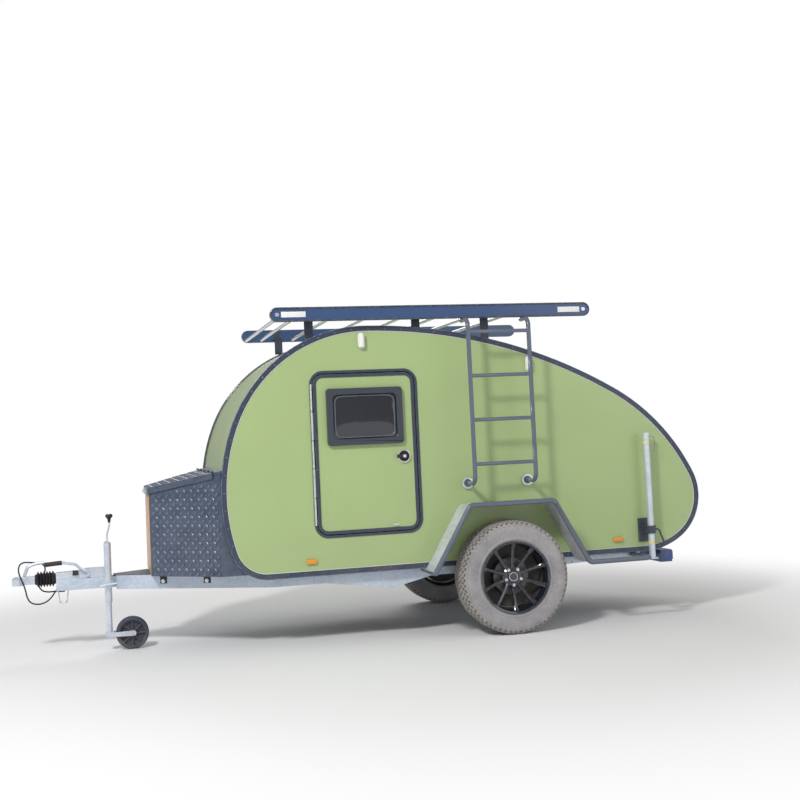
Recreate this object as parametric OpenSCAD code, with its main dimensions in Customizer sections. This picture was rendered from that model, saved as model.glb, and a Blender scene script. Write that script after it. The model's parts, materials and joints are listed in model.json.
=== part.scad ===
// Teardrop camping trailer on its jockey wheel, with door, tail hatch, front box, roof rack and ladder.
// Millimetres. X runs from the hitch to the tail, Y from the ladder side to the other side, Z up.
// Inside the modules X is measured from the wheel axle; placed() then moves the origin to the
// middle of the footprint, on the ground.

/* [Cabin] */
// Length of the cabin over its edge trims
cabin_length = 3440; // [2870:10:4130]
// Height of the cabin over its edge trims
cabin_height = 1660; // [1390:5:1990]
// Width over the two side walls
cabin_width = 1430; // [1200:10:1720]
// Height of the side walls' lower edge above the ground
cabin_base = 466; // [440:1:520]
// How far the tail stands behind the axle
cabin_tail = 1515; // [1300:5:1700]
// Thickness of a side wall
wall = 30; // [24:1:40]
// Thickness of the roof, nose and hatch panels
skin = 35; // [25:1:45]
// How far the roof skin lies below the edge trims
skin_drop = 10; // [6:1:14]
// Thickness of the edge trim
trim = 3; // [2:0.5:4]
// Width of the edge trim on the side wall
trim_face = 36; // [25:1:50]

/* [Cabin outline] */
// Radius from the floor up to the tail
tail_low_radius = 520; // [450:5:560]
// Radius of the tail
tail_radius = 365; // [330:5:400]
// Radius of the nose
nose_radius = 1300; // [1150:10:1450]
// Radius from the nose down to the floor
chin_radius = 246; // [210:2:280]

/* [Door] */
// Width of the door frame
door_width = 750; // [640:5:860]
// Height of the door frame
door_height = 1120; // [940:5:1180]
// Corner radius of the door frame
door_corner = 95; // [70:1:120]
// Distance of the door's hinge edge ahead of the axle
door_ahead = 1316; // [1270:2:1360]
// Height of the door frame's lower edge above the ground
door_sill = 708; // [690:1:740]
// Clearance round a door leaf
door_gap = 7; // [6:0.5:9]
// Width of the window frame
window_width = 526; // [440:2:560]
// Height of the window frame
window_height = 384; // [320:2:430]

/* [Hatch] */
// Direction of the roof's normal where the hatch starts, in degrees above the horizon
hatch_angle = 72.5; // [70:0.5:78]
// Clearance round the hatch
hatch_gap = 6; // [5:0.5:8]

/* [Wheels] */
// Diameter of a tyre
tyre_diameter = 762; // [700:2:800]
// Width of a tyre
tyre_width = 225; // [190:5:260]
// Radius of the rim's flange
rim_radius = 246; // [225:1:260]
// Clearance between side wall and tyre
tyre_gap = 20; // [14:1:40]

/* [Drawbar] */
// How far the coupling stands ahead of the cabin's nose
drawbar_reach = 1365; // [1200:5:1640]
// Height of the frame's beams
beam_height = 95; // [80:1:110]
// Width of the frame's beams
beam_width = 50; // [40:1:60]
// Diameter of the jockey wheel
jockey_diameter = 220; // [190:2:240]
// Diameter of the jockey mast
mast_diameter = 48; // [42:1:60]

/* [Front box] */
// Width of the box's front
box_front = 600; // [500:10:700]
// Distance of the box's front ahead of the cabin's nose
box_reach = 445; // [380:5:520]
// Height of the box's front edge above the frame
box_height = 580; // [480:5:640]
// Slope of the lid, in degrees
lid_slope = 12; // [8:0.5:16]

/* [Rack and ladder] */
// Length of the roof rack
rack_length = 2280; // [1900:10:2400]
// Height of a rack rail
rail_height = 96; // [80:1:115]
// Clearance between roof and rack
rack_lift = 32; // [25:1:80]
// Number of cross tubes
rack_tubes = 8; // [6:1:11]
// Diameter of the ladder's tubes
ladder_tube = 30; // [25:1:35]
// Distance between the ladder's two rails
ladder_width = 437; // [360:1:520]
// Spacing of the rungs
rung_step = 300; // [250:5:300]

/* [Hidden] */
$fn = 48;

half = cabin_width / 2;
cabin_nose = cabin_tail - cabin_length;
coupling_tip = cabin_nose - drawbar_reach;
middle = (cabin_tail + coupling_tip) / 2;
roof_top = cabin_base + cabin_height;
seat = 0.3;             // gap where two pieces rest on each other
running = 0.05;         // radial clearance of a shaft in its bore

// ---- Cabin outline: a closed chain of tangent arcs, from the floor round the tail, roof and nose ----
arc_start = [-90, -57, 26, 60, 90, 158, 197];   // direction of the outward normal where each arc starts
arc_end = 270;
// The chin, nose, tail and lower tail radii are given; the brow radius closes the nose to the
// cabin's height, and the back and roof radii close the tail to its height and length.
brow_radius = (cabin_height - nose_radius * (sin(158) - sin(197)) - chin_radius * (sin(197) + 1)) / (1 - sin(158));
back_rise = cabin_height - tail_low_radius * (1 + sin(-57)) - tail_radius * (sin(26) - sin(-57));
back_run = cabin_length - tail_radius * (1 - cos(26)) + brow_radius * cos(158) - nose_radius * (1 + cos(158));
chain = (sin(60) - sin(26)) * cos(60) - (1 - sin(60)) * (cos(26) - cos(60));
back_radius = (back_rise * cos(60) - (1 - sin(60)) * back_run) / chain;
roof_radius = ((sin(60) - sin(26)) * back_run - (cos(26) - cos(60)) * back_rise) / chain;
arc_radius = [tail_low_radius, tail_radius, back_radius, roof_radius, brow_radius, nose_radius, chin_radius];
ROOF = 3;               // index of the roof's arc
BROW = 4;               // index of the brow's arc
TAIL = 1;               // index of the tail's arc
LOW_TAIL = 0;           // index of the arc from the floor up to the tail
CHIN = 6;               // index of the arc from the nose down to the floor

function toward(a) = [cos(a), sin(a)];
first_centre = [cabin_tail - tail_radius, cabin_base + tail_low_radius]
    - [(tail_low_radius - tail_radius) * cos(-57), 0];
function arc_centre(i) =
    i == 0 ? first_centre : arc_centre(i - 1) + (arc_radius[i - 1] - arc_radius[i]) * toward(arc_start[i]);
function arc_stop(i) = i == len(arc_start) - 1 ? arc_end : arc_start[i + 1];
function on_arc(i, a, inset) = arc_centre(i) + (arc_radius[i] - inset) * toward(a);
// Height of the outline above a place on the roof or brow
function roof_z(x, inset = 0) =
    let (i = x > arc_centre(ROOF)[0] ? ROOF : BROW, c = arc_centre(i), r = arc_radius[i] - inset)
    c[1] + sqrt(r * r - (x - c[0]) * (x - c[0]));

// The outline as a flat shape, drawn inset by a given distance, in short chords
chord = 1.5;            // the longest chord, in degrees of its arc
module outline(inset) polygon([
    for (i = [0:len(arc_start) - 1])
        let (n = ceil((arc_stop(i) - arc_start[i]) / chord), step = (arc_stop(i) - arc_start[i]) / n)
        for (k = [0:n - 1]) on_arc(i, arc_start[i] + k * step, inset),
    on_arc(CHIN, arc_end, inset)
]);

module outline_ring(outer, inner) {
    difference() {
        outline(outer);
        outline(inner);
    }
}

// ---- Helpers ----
module placed() translate([-middle, 0, 0]) children();
// Extrudes a shape drawn in X and Z, from y0 to y1
module slab(y0, y1) translate([0, y1, 0]) rotate([90, 0, 0]) linear_extrude(y1 - y0) children();
// The ladder side is the left side (Y below 0); this draws a piece and its twin on the other side
module both_sides() {
    children();
    mirror([0, 1, 0]) children();
}
module side_of(s) {
    if (s < 0) children();
    else mirror([0, 1, 0]) children();
}
module rounded_rect(w, h, r) {
    difference() {
        square([w, h], center = true);
        for (sx = [-1, 1], sy = [-1, 1]) translate([sx * (w / 2 - r), sy * (h / 2 - r)])
            difference() {
                translate([sx * r / 2, sy * r / 2]) square([r, r], center = true);
                circle(r = r);
            }
    }
}
module box_from(low, high) translate(low) cube(high - low);
module y_cylinder(r, y0, y1) translate([0, y0, 0]) rotate([-90, 0, 0]) cylinder(r = r, h = y1 - y0);

function unit(v) = v / norm(v);
function turn_at(a, b, c) = acos(max(-1, min(1, unit(b - a) * unit(c - b))));
function trim_at(p, i, bend) =
    i == 0 || i == len(p) - 1 ? 0 : bend * tan(turn_at(p[i - 1], p[i], p[i + 1]) / 2);
// A round bar of radius r along straight runs; its bends are slightly thicker, and hold the runs' ends
module bent_bar(p, bend, r) {
    for (i = [0:len(p) - 2]) {
        d = unit(p[i + 1] - p[i]);
        from = p[i] + d * max(0, trim_at(p, i, bend) - 1.5);
        to = p[i + 1] - d * max(0, trim_at(p, i + 1, bend) - 1.5);
        bar(from, to, r);
    }
    for (i = [1:len(p) - 2]) {
        a = unit(p[i] - p[i - 1]);
        b = unit(p[i + 1] - p[i]);
        m = unit(b - (a * b) * a);
        z = cross(-m, a);
        c = p[i] - a * trim_at(p, i, bend) + m * bend;
        multmatrix([[-m[0], a[0], z[0], c[0]], [-m[1], a[1], z[1], c[1]], [-m[2], a[2], z[2], c[2]], [0, 0, 0, 1]])
            rotate_extrude(angle = turn_at(p[i - 1], p[i], p[i + 1])) translate([bend, 0]) circle(r = r + 0.25);
    }
}
module bar(from, to, r) {
    d = to - from;
    translate(from) rotate([0, acos(d[2] / norm(d)), atan2(d[1], d[0])]) cylinder(r = r, h = norm(d));
}

// ---- Side walls ----
door_x = -door_ahead + door_width / 2;
door_z = door_sill + door_height / 2;
frame_flange = 24;      // width of the door frame on the wall
opening_inset = 14;     // from the frame's outer edge to the hole in the wall
sleeve = 4;             // thickness of the frame's sleeve in the hole
leaf_inset = opening_inset + sleeve + door_gap;

module door_shape(inset) translate([door_x, door_z])
    rounded_rect(door_width - 2 * inset, door_height - 2 * inset, door_corner - inset);

module cabin_side()
    slab(-half, -half + wall) difference() {
        outline(trim);
        door_shape(opening_inset);
        spindle_notch();
    }

// A notch round the wheel's spindle, where large tyres lift it into the wall
module spindle_notch() translate([0, tyre_diameter / 2]) circle(r = 46);

module edge_trims() color("dimgray") placed() both_sides() difference() {
    union() {
        slab(-half - trim, -half) outline_ring(0, trim_face);
        slab(-half, -half + wall) outline_ring(0, trim);
    }
    slab(-half - wall, -half + 2 * wall) spindle_notch();
}

module door_frames() color("dimgray") placed() both_sides() {
    slab(-half - 5, -half) difference() {
        door_shape(0);
        door_shape(opening_inset + sleeve);
    }
    slab(-half, -half + wall) difference() {
        door_shape(opening_inset);
        door_shape(opening_inset + sleeve);
    }
    // hinge at the leading edge: a pin in short barrels
    translate([hinge_x, hinge_y, door_z]) cylinder(r = hinge_pin, h = door_height * 0.84, center = true);
    for (z = [-0.34, 0, 0.34]) translate([hinge_x, hinge_y, door_z + z * door_height]) {
        cylinder(r = hinge_radius, h = door_height * 0.16, center = true);
        translate([0, 5, 0]) cube([6, 12, door_height * 0.16], center = true);
    }
}
hinge_radius = 7;
hinge_pin = 3;
hinge_x = -door_ahead + 9;
hinge_y = -half - 13;

// ---- Floor, roof and inside walls ----
floor_under = cabin_base + 34;
floor_thickness = 25;
inner = half - wall;                 // half width between the walls

function arc_degrees(length, radius) = length / radius * 180 / PI;
hatch_low = -76;         // direction of the normal at the hatch's lower edge
module hatch_zone(grow) {
    top = hatch_angle + arc_degrees(grow, roof_radius);
    low = hatch_low - arc_degrees(grow, tail_low_radius);
    polygon([
        on_arc(ROOF, top, 90), on_arc(ROOF, top, -60), [cabin_tail + 300, on_arc(ROOF, top, -60)[1]],
        [cabin_tail + 300, cabin_base - 100], on_arc(LOW_TAIL, low, -60), on_arc(LOW_TAIL, low, 90)
    ]);
}

module cabin_roof() color("olivedrab") placed()
    slab(-inner, inner) difference() {
        outline_ring(skin_drop, skin_drop + skin);
        hatch_zone(hatch_gap);
        // the frame's space under the chin, and the floor's place
        translate([cabin_nose, cabin_base - 50]) square([cabin_length, floor_under - cabin_base + 50]);
        translate([chin_end, cabin_base]) square([cabin_length, floor_under + floor_thickness - cabin_base]);
    }

module cabin_floor() color("dimgray") placed()
    slab(-inner, inner) {
        translate([chin_end, floor_under]) square([tail_start - chin_end, floor_thickness]);
        intersection() {
            outline(skin_drop + skin);
            translate([cabin_nose, floor_under]) square([cabin_length - 400, floor_thickness]);
        }
        // turned-up tail, up to the hatch
        difference() {
            outline_ring(skin_drop, skin_drop + skin);
            translate([cabin_nose, cabin_base - 50]) square([tail_start - cabin_nose, cabin_height + 100]);
            translate([tail_start, floor_under + 200]) square([cabin_length, cabin_height]);
            hatch_zone(hatch_gap);
        }
    }
chin_end = on_arc(CHIN, 270, 0)[0];
tail_start = on_arc(LOW_TAIL, -90, 0)[0];

pivot = on_arc(ROOF, hatch_angle + arc_degrees(hatch_gap / 2, roof_radius), skin_drop - 7);
bulkhead_x = pivot[0] - 60;
module galley_bulkhead() color("burlywood") placed()
    slab(-inner, inner) intersection() {
        outline(skin_drop + skin);
        translate([bulkhead_x, floor_under + floor_thickness]) square([20, cabin_height]);
    }

worktop_z = 1120;
worktop_end = 960;
module galley_worktop() color("burlywood") placed()
    slab(-inner, inner) translate([bulkhead_x + 20, worktop_z]) square([worktop_end - bulkhead_x - 20, 25]);

// ---- Doors, drawn on the left side ----
leaf_out = -half - 2;
leaf_in = -half + wall - 4;
window_x = door_x - 3;
window_z = door_sill + door_height - 315;
pane_inset = 43;

module door_panel(s) side_of(s) {
    slab(leaf_out, leaf_in) difference() {
        door_shape(leaf_inset);
        translate([window_x, window_z])
            rounded_rect(window_width - 2 * pane_inset - 40, window_height - 2 * pane_inset - 40, 25);
    }
    slab(leaf_out - 5, leaf_out) difference() {
        door_shape(leaf_inset);
        door_shape(leaf_inset + 22);
    }
    // hinge leaves, between the frame's barrels
    for (z = [-0.17, 0.17]) translate([hinge_x, hinge_y, door_z + z * door_height]) difference() {
        union() {
            cylinder(r = hinge_radius, h = door_height * 0.17, center = true);
            box_from([0, -2, -door_height * 0.08], [leaf_inset + 4, 7, door_height * 0.08]);
        }
        cylinder(r = hinge_pin + running, h = door_height * 0.2, center = true);
    }
}
frame_depth = 32;
module door_window_frame(s) side_of(s)
    slab(leaf_out - frame_depth, leaf_out) translate([window_x, window_z]) difference() {
        rounded_rect(window_width, window_height, 22);
        rounded_rect(window_width - 2 * pane_inset, window_height - 2 * pane_inset, 30);
    }
module door_window(s) side_of(s)
    slab(leaf_out - frame_depth + 10, leaf_out) translate([window_x, window_z])
        rounded_rect(window_width - 2 * pane_inset, window_height - 2 * pane_inset, 30);
handle_x = door_x + door_width / 2 - 116;
handle_z = door_sill + 523;
module door_handle(s) side_of(s) translate([handle_x, 0, handle_z]) {
    y_cylinder(44, leaf_out - 14, leaf_out);
    y_cylinder(15, leaf_out - 22, leaf_out - 14);
    box_from([-58, leaf_out - 26, -13], [12, leaf_out - 14, 13]);
}

// ---- Hatch ----
hatch_side = 6;
module hatch_panel() color("olivedrab") placed()
    slab(-inner + hatch_side, inner - hatch_side) intersection() {
        outline_ring(skin_drop, skin_drop + skin);
        hatch_zone(0);
    }
barrel = 7;             // outer radius of the hinge's barrels
pin = 4;
hinge_half = inner - 25;
hinge_steps = 9;        // barrels along the hinge, taken in turn by the roof and the hatch
hinge_step = 2 * hinge_half / hinge_steps;
// A strip on the skin, from one distance to another along the roof from the pivot, towards the nose
module hinge_strip(from, to) slab(-hinge_half, hinge_half) intersection() {
    outline_ring(skin_drop - 5, skin_drop - seat);
    near = hatch_angle + arc_degrees(hatch_gap / 2 + from, roof_radius);
    far = hatch_angle + arc_degrees(hatch_gap / 2 + to, roof_radius);
    polygon([on_arc(ROOF, near, 60), on_arc(ROOF, near, -60), on_arc(ROOF, far, -60), on_arc(ROOF, far, 60)]);
}
module hinge_barrels(first, side) for (k = [first:2:hinge_steps - 1])
    translate([pivot[0], -hinge_half + (k + 0.5) * hinge_step, pivot[1]]) rotate([0, 90 - hatch_angle, 0]) {
        rotate([90, 0, 0]) cylinder(r = barrel, h = hinge_step - 4, center = true);
        translate([side * 7, 0, -barrel + 3]) cube([14, hinge_step - 4, 4], center = true);
    }
module hatch_hinge() color("dimgray") placed() {
    translate([pivot[0], 0, pivot[1]]) y_cylinder(pin, -hinge_half, hinge_half);
    hinge_barrels(0, -1);
    hinge_strip(10, 60);
}
module hatch_leaf() color("dimgray") placed() difference() {
    union() {
        hinge_barrels(1, 1);
        hinge_strip(-50, -10);
    }
    translate([pivot[0], 0, pivot[1]]) y_cylinder(pin + running, -half, half);
}
handle_angle = -30;
module hatch_handles() color("black") placed()
    for (s = [-1, 1]) translate([0, s * inner * 0.62, 0]) {
        p = on_arc(TAIL, handle_angle, skin_drop);
        translate([p[0], 0, p[1]]) rotate([0, -handle_angle, 0]) {
            translate([seat, 0, 0]) rotate([0, 90, 0]) cylinder(r = 24, h = 6);
            translate([6, 0, 0]) rotate([0, 90, 0]) cylinder(r = 7, h = 14);
            translate([20, -40, -9]) cube([12, 80, 18]);
        }
    }

// ---- Frame under the cabin ----
frame_top = floor_under - seat;
frame_under = frame_top - beam_height;
rail_out = inner - 35;               // outer face of the side rails
head_half = 50;                      // half width of the drawbar's head tube
head_front = coupling_tip + 290;
head_end = coupling_tip + 850;
fork_x = coupling_tip + 690;         // where the two beams part
beam_end = cabin_nose + 330;         // where they reach the side rails
rear_end = tail_start - 8;

module drawbar_head() color("silver") placed()
    box_from([head_front, -head_half, frame_under + 15], [head_end, head_half, frame_under + 90]);

module drawbar_beams() color("silver") placed() both_sides()
    translate([0, 0, frame_under]) linear_extrude(beam_height) difference() {
        polygon([
            [fork_x, -head_half - 10], [beam_end, -rail_out], [beam_end + 60, -rail_out],
            [beam_end + 60, -rail_out + beam_width], [beam_end + 12, -rail_out + beam_width],
            [fork_x, -head_half + beam_width]
        ]);
        translate([fork_x - 10, -head_half - seat / 2]) square([head_end - fork_x + 10 + seat, 2 * head_half]);
    }

// Thin plate over the fork ahead of the box, and two tabs under each beam
plate_front = coupling_tip + 670;
plate_back = cabin_nose - box_reach - 4;
beam_slope = (rail_out - head_half - 10) / (beam_end - fork_x);
tab_x = [coupling_tip + 1000, coupling_tip + 1280];
module drawbar_plates() color("black") placed() {
    wide = beam_outer(plate_back);
    translate([0, 0, frame_top + seat]) linear_extrude(4)
        polygon([[plate_front, -head_half], [plate_back, -wide], [plate_back, wide], [plate_front, head_half]]);
    both_sides() for (x = tab_x)
        translate([x, -beam_outer(x) + 24, frame_under - 50 - seat]) rotate(-atan(beam_slope))
            translate([-22, -4, 0]) cube([45, 8, 50]);
}
function beam_outer(x) = head_half + 10 + (x - fork_x) * beam_slope;

module chassis_rails() color("silver") placed() both_sides()
    slab(-rail_out, -rail_out + beam_width) polygon([
        [beam_end + 60, frame_top], [rear_end, frame_top], [rear_end, frame_under + 25],
        [420, frame_under], [-500, frame_under], [-780, frame_under - 65], [beam_end + 350, frame_under],
        [beam_end + 60, frame_under]
    ]);

cross_x = [beam_end + 100, -420, 620, rear_end - 200];
module cross_members() color("silver") placed()
    for (x = cross_x) box_from(
        [x, -rail_out + beam_width, frame_top - 70], [x + 50, rail_out - beam_width, frame_top - 10]);

// ---- Coupling ----
module overrun_housing() color("lightsteelblue") placed() {
    z = frame_under + 90;
    slab(-42, 42) polygon([
        [head_front, z], [head_front + 350, z], [head_front + 350, z + 62], [head_front + 200, z + 62],
        [head_front + 150, z + 50], [head_front, z + 46]
    ]);
    // breakaway switch on its side
    box_from([head_front + 110, -62, z + 24], [head_front + 148, -42, z + 58]);
    // wire hoop under the head
    bent_bar([
        [head_front + 10, 0, frame_under + 13.5], [head_front + 22, 0, frame_under - 72],
        [head_front + 66, 0, frame_under - 72], [head_front + 78, 0, frame_under + 13.5]
    ], 12, 4);
}

draw_tube_z = frame_under + 98;
ball_radius = 25;
ball_x = coupling_tip + 42;
ball_z = draw_tube_z - 12;
module coupling_head() color("lightsteelblue") placed() difference() {
    union() {
        translate([ball_x, 0, ball_z - 20]) cylinder(r = 42, h = 44);
        translate([ball_x, 0, ball_z + 24]) cylinder(r1 = 42, r2 = 26, h = 14);
        box_from([ball_x, -30, draw_tube_z - 28], [coupling_tip + 150, 30, draw_tube_z + 24]);
        translate([coupling_tip + 140, 0, draw_tube_z]) rotate([0, 90, 0])
            cylinder(r = 22, h = head_front - coupling_tip - 140);
        // coupling handle
        bent_bar([
            [coupling_tip + 78, 0, draw_tube_z + 20], [coupling_tip + 105, 0, draw_tube_z + 90],
            [coupling_tip + 150, 0, draw_tube_z + 108], [coupling_tip + 212, 0, draw_tube_z + 114]
        ], 20, 11);
    }
    translate([ball_x, 0, ball_z]) sphere(r = ball_radius);
    translate([ball_x, 0, ball_z - 60]) cylinder(r = ball_radius, h = 60);
}

module coupling_bellows() color("black") placed()
    translate([coupling_tip + 152, 0, draw_tube_z]) rotate([0, 90, 0]) rotate_extrude()
        polygon(concat([[22 + seat, 0]],
            [for (i = [0:4]) each [[i % 2 == 0 ? 36 : 40, i * 27], [54, i * 27 + 13]]],
            [[40, 137], [22 + seat, 137]]));

module brake_lever() color("lightsteelblue") placed() {
    y = 56;
    bent_bar([
        [head_front + 205, -y, frame_under + 118], [head_front + 130, -y, frame_under + 190],
        [head_front + 40, -y, frame_under + 206], [head_front - 72, -y, frame_under + 200]
    ], 45, 10);
    translate([head_front + 205, 0, frame_under + 118]) y_cylinder(16, -y - 8, -42);
}

// ---- Cable to the towing vehicle, parked with its plug in a socket on the drawbar ----
cable_radius = 5;
cable_route = [
    [-2985, 30, 412], [-3015, 31, 411], [-3055, 38, 410], [-3090, 52, 417], [-3113, 64, 440],
    [-3117, 70, 476], [-3101, 72, 512], [-3078, 71, 545], [-3076, 67, 580], [-3098, 59, 604],
    [-3134, 46, 614], [-3172, 28, 620], [-3208, 6, 624], [-3234, -16, 612], [-3243, -34, 580],
    [-3236, -47, 544], [-3222, -54, 508], [-3208, -57, 470], [-3198, -57, 432], [-3190, -52, 394],
    [-3174, -38, 361], [-3146, -16, 341], [-3108, 10, 335], [-3070, 36, 344], [-3038, 58, 368],
    [-3012, 74, 402], [-2984, 82, 432], [-2952, 85, 445], [-2920, 85, 446]
];
plug_length = 45;
function cable_at(i) = cable_route[max(0, min(len(cable_route) - 1, i))];
// A point between two of the route's points, on a smooth curve through them all
function on_cable(i, t) =
    let (a = cable_at(i - 1), b = cable_at(i), c = cable_at(i + 1), d = cable_at(i + 2))
    b + t * (c - a) / 2 + t * t * (2 * a - 5 * b + 4 * c - d) / 2 + t * t * t * (3 * b - a - 3 * c + d) / 2;
cable_line = concat([for (i = [0:len(cable_route) - 2], t = [0, 0.5]) on_cable(i, t)], [cable_at(99)]);
cable_sides = 8;
function cable_ring(i) =
    let (
        n = len(cable_line),
        d = i == 0 ? [-1, 0, 0] : i == n - 1 ? [1, 0, 0] : unit(cable_line[i + 1] - cable_line[i - 1]),
        u = unit(cross(d, [0.2, 1, 0.1])), v = cross(d, u)
    ) [for (k = [0:cable_sides - 1]) cable_line[i] + cable_radius * (cos(k * 360 / cable_sides) * u
        + sin(k * 360 / cable_sides) * v)];
module drawbar_cable() color("black") placed() polyhedron(
    points = [for (i = [0:len(cable_line) - 1]) each cable_ring(i)],
    faces = concat(
        [[for (k = [0:cable_sides - 1]) k]],
        [for (i = [0:len(cable_line) - 2], k = [0:cable_sides - 1]) let (a = i * cable_sides, m = (k + 1) % cable_sides)
            [a + k, a + cable_sides + k, a + cable_sides + m, a + m]],
        [[for (k = [cable_sides - 1:-1:0]) (len(cable_line) - 1) * cable_sides + k]]
    ));
plug_end = cable_at(99);
module cable_plug() color("black") placed() translate(plug_end) rotate([0, 90, 0]) {
    cylinder(r1 = 9, r2 = 17, h = 14);
    translate([0, 0, 14]) cylinder(r = 17, h = plug_length - 14);
}
module cable_holders() color("black") placed() {
    gland = cable_at(0);
    box_from([gland[0], gland[1] - 11, gland[2] - 8], [gland[0] + 40, gland[1] + 11, frame_under + 15 - seat]);
    // parking socket on the head tube's far side
    translate([plug_end[0] + plug_length, plug_end[1], plug_end[2]]) rotate([0, 90, 0]) cylinder(r = 22, h = 26);
    box_from([plug_end[0] + plug_length + 8, head_half + seat, plug_end[2] - 20],
        [plug_end[0] + plug_length + 14, plug_end[1], plug_end[2] + 20]);
}

// ---- Jockey wheel ----
mast_x = coupling_tip + 635;
mast_y = -head_half - 66;
jockey_radius = jockey_diameter / 2;
trail = 150;
mast_bottom = frame_under - 75;
mast_top = mast_bottom + 400;
leg_radius = mast_diameter / 2 - 5;
swivel_pin = 10;

module jockey_clamp() color("lightsteelblue") placed() translate([mast_x, mast_y, frame_under]) difference() {
    outside = mast_diameter / 2;
    union() {
        translate([0, 0, 22]) cylinder(r = outside + 8, h = 50);
        box_from([-20, outside - 4, 25], [20, -head_half - mast_y, 69]);
        // clamp screw and its handle
        box_from([-16, -outside - 26, 30], [16, -outside + 4, 64]);
        bar([-55, -outside - 32, 40], [60, -outside - 32, 54], 7);
    }
    cylinder(r = outside, h = 100);
}

module jockey_mast() color("gainsboro") placed() translate([mast_x, mast_y, 0]) {
    knob = [18, -30, mast_top + 150];
    difference() {
        translate([0, 0, mast_bottom]) cylinder(r = mast_diameter / 2, h = mast_top - mast_bottom);
        translate([0, 0, mast_bottom - 1]) cylinder(r = leg_radius + running, h = mast_top - mast_bottom - 20);
    }
    translate([0, 0, mast_top]) cylinder(r1 = mast_diameter / 2, r2 = 12, h = 14);
    bent_bar([[0, 0, mast_top + 10], [0, 0, mast_top + 58], knob - [0, 0, 32], knob], 12, 6);
    translate(knob - [0, 0, 10]) cylinder(r1 = 8, r2 = 12, h = 25);
    translate(knob + [0, 0, 15]) cylinder(r1 = 12, r2 = 26, h = 18);
    translate(knob + [0, 0, 33]) cylinder(r1 = 26, r2 = 20, h = 14);
}

fork_top = jockey_radius + 15;
yoke = 30;              // height of the fork's yoke
module jockey_leg() color("silver") placed() translate([mast_x, mast_y, 0]) {
    translate([0, 0, fork_top]) cylinder(r = leg_radius, h = mast_bottom + 120 - fork_top);
    translate([0, 0, fork_top - yoke + 6]) cylinder(r = swivel_pin, h = yoke);
}

fork_half = 40;
module jockey_fork() color("gainsboro") placed() translate([mast_x, mast_y, 0]) {
    difference() {
        box_from([-26, -fork_half, fork_top - seat - yoke], [28, fork_half, fork_top - seat]);
        cylinder(r = swivel_pin + running, h = 300);
    }
    for (s = [-1, 1]) slab(s * fork_half - 3, s * fork_half + 3) polygon([
        [-26, fork_top - seat - yoke], [-26, fork_top - seat], [28, fork_top - seat],
        [trail + 14, jockey_radius + 18], [trail + 24, jockey_radius + 8], [trail + 24, jockey_radius - 10],
        [trail + 14, jockey_radius - 18], [28, fork_top - seat - yoke]
    ]);
    translate([trail, 0, jockey_radius]) y_cylinder(8, -fork_half - 10, fork_half + 10);
}

module jockey_wheel() color("black") placed() translate([mast_x + trail, mast_y, jockey_radius]) rotate([90, 0, 0])
    difference() {
        union() {
            rotate_extrude() difference() {
                translate([jockey_radius - 24, -30]) square([24, 60]);
                for (s = [-1, 1]) translate([jockey_radius, s * 30]) rotate(45) square([12, 12], center = true);
            }
            translate([0, 0, -30]) cylinder(r = 24, h = 60);
            translate([0, 0, -4]) cylinder(r = jockey_radius - 20, h = 8);
            for (a = [0:45:315]) rotate(a) translate([20, -4, -24]) cube([jockey_radius - 42, 8, 48]);
        }
        translate([0, 0, -40]) cylinder(r = 8 + running, h = 80);
    }

// ---- Axle and wheels ----
tyre_radius = tyre_diameter / 2;
wheel_y = half + tyre_gap + tyre_width / 2;
arm_x = -150;
spindle = 17;
tube_z = min(tyre_radius, frame_under - 41);

module axle_beam() color("silver") placed() {
    translate([arm_x, 0, tube_z]) rotate([0, 45, 0]) cube([56, 2 * (rail_out - 6), 56], center = true);
    both_sides() {
        // carrier up to the side rail
        box_from([arm_x - 60, -rail_out + 2, tube_z], [arm_x + 60, -rail_out + beam_width, frame_under - seat]);
        // trailing arm and wheel spindle
        slab(-rail_out - 30, -rail_out - 6) difference() {
            union() {
                translate([arm_x, tube_z]) circle(r = 46);
                translate([0, tyre_radius]) circle(r = 38);
                polygon([[arm_x, tube_z - 42], [0, tyre_radius - 36], [0, tyre_radius + 36], [arm_x, tube_z + 42]]);
            }
        }
        translate([arm_x, 0, tube_z]) y_cylinder(25, -rail_out - 10, -rail_out + 10);
        translate([0, 0, tyre_radius]) y_cylinder(spindle, -wheel_y - 10, -rail_out - 8);
    }
}

// Wheel parts are drawn round Z, with the outer side up, then laid on their side
module on_wheel(s) side_of(s) translate([0, -wheel_y, tyre_radius]) rotate([90, 0, 0]) children();
bead = rim_radius - 17;
module tyre(s) on_wheel(s) rotate_extrude($fn = 96) polygon([
    [bead, -tyre_width * 0.38], [bead + 40, -tyre_width * 0.47], [tyre_radius * 0.83, -tyre_width / 2],
    [tyre_radius * 0.93, -tyre_width * 0.47], [tyre_radius * 0.985, -tyre_width * 0.40],
    [tyre_radius, -tyre_width * 0.30], [tyre_radius, tyre_width * 0.30],
    [tyre_radius * 0.985, tyre_width * 0.40], [tyre_radius * 0.93, tyre_width * 0.47],
    [tyre_radius * 0.83, tyre_width / 2], [bead + 40, tyre_width * 0.47], [bead, tyre_width * 0.38]
]);

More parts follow.
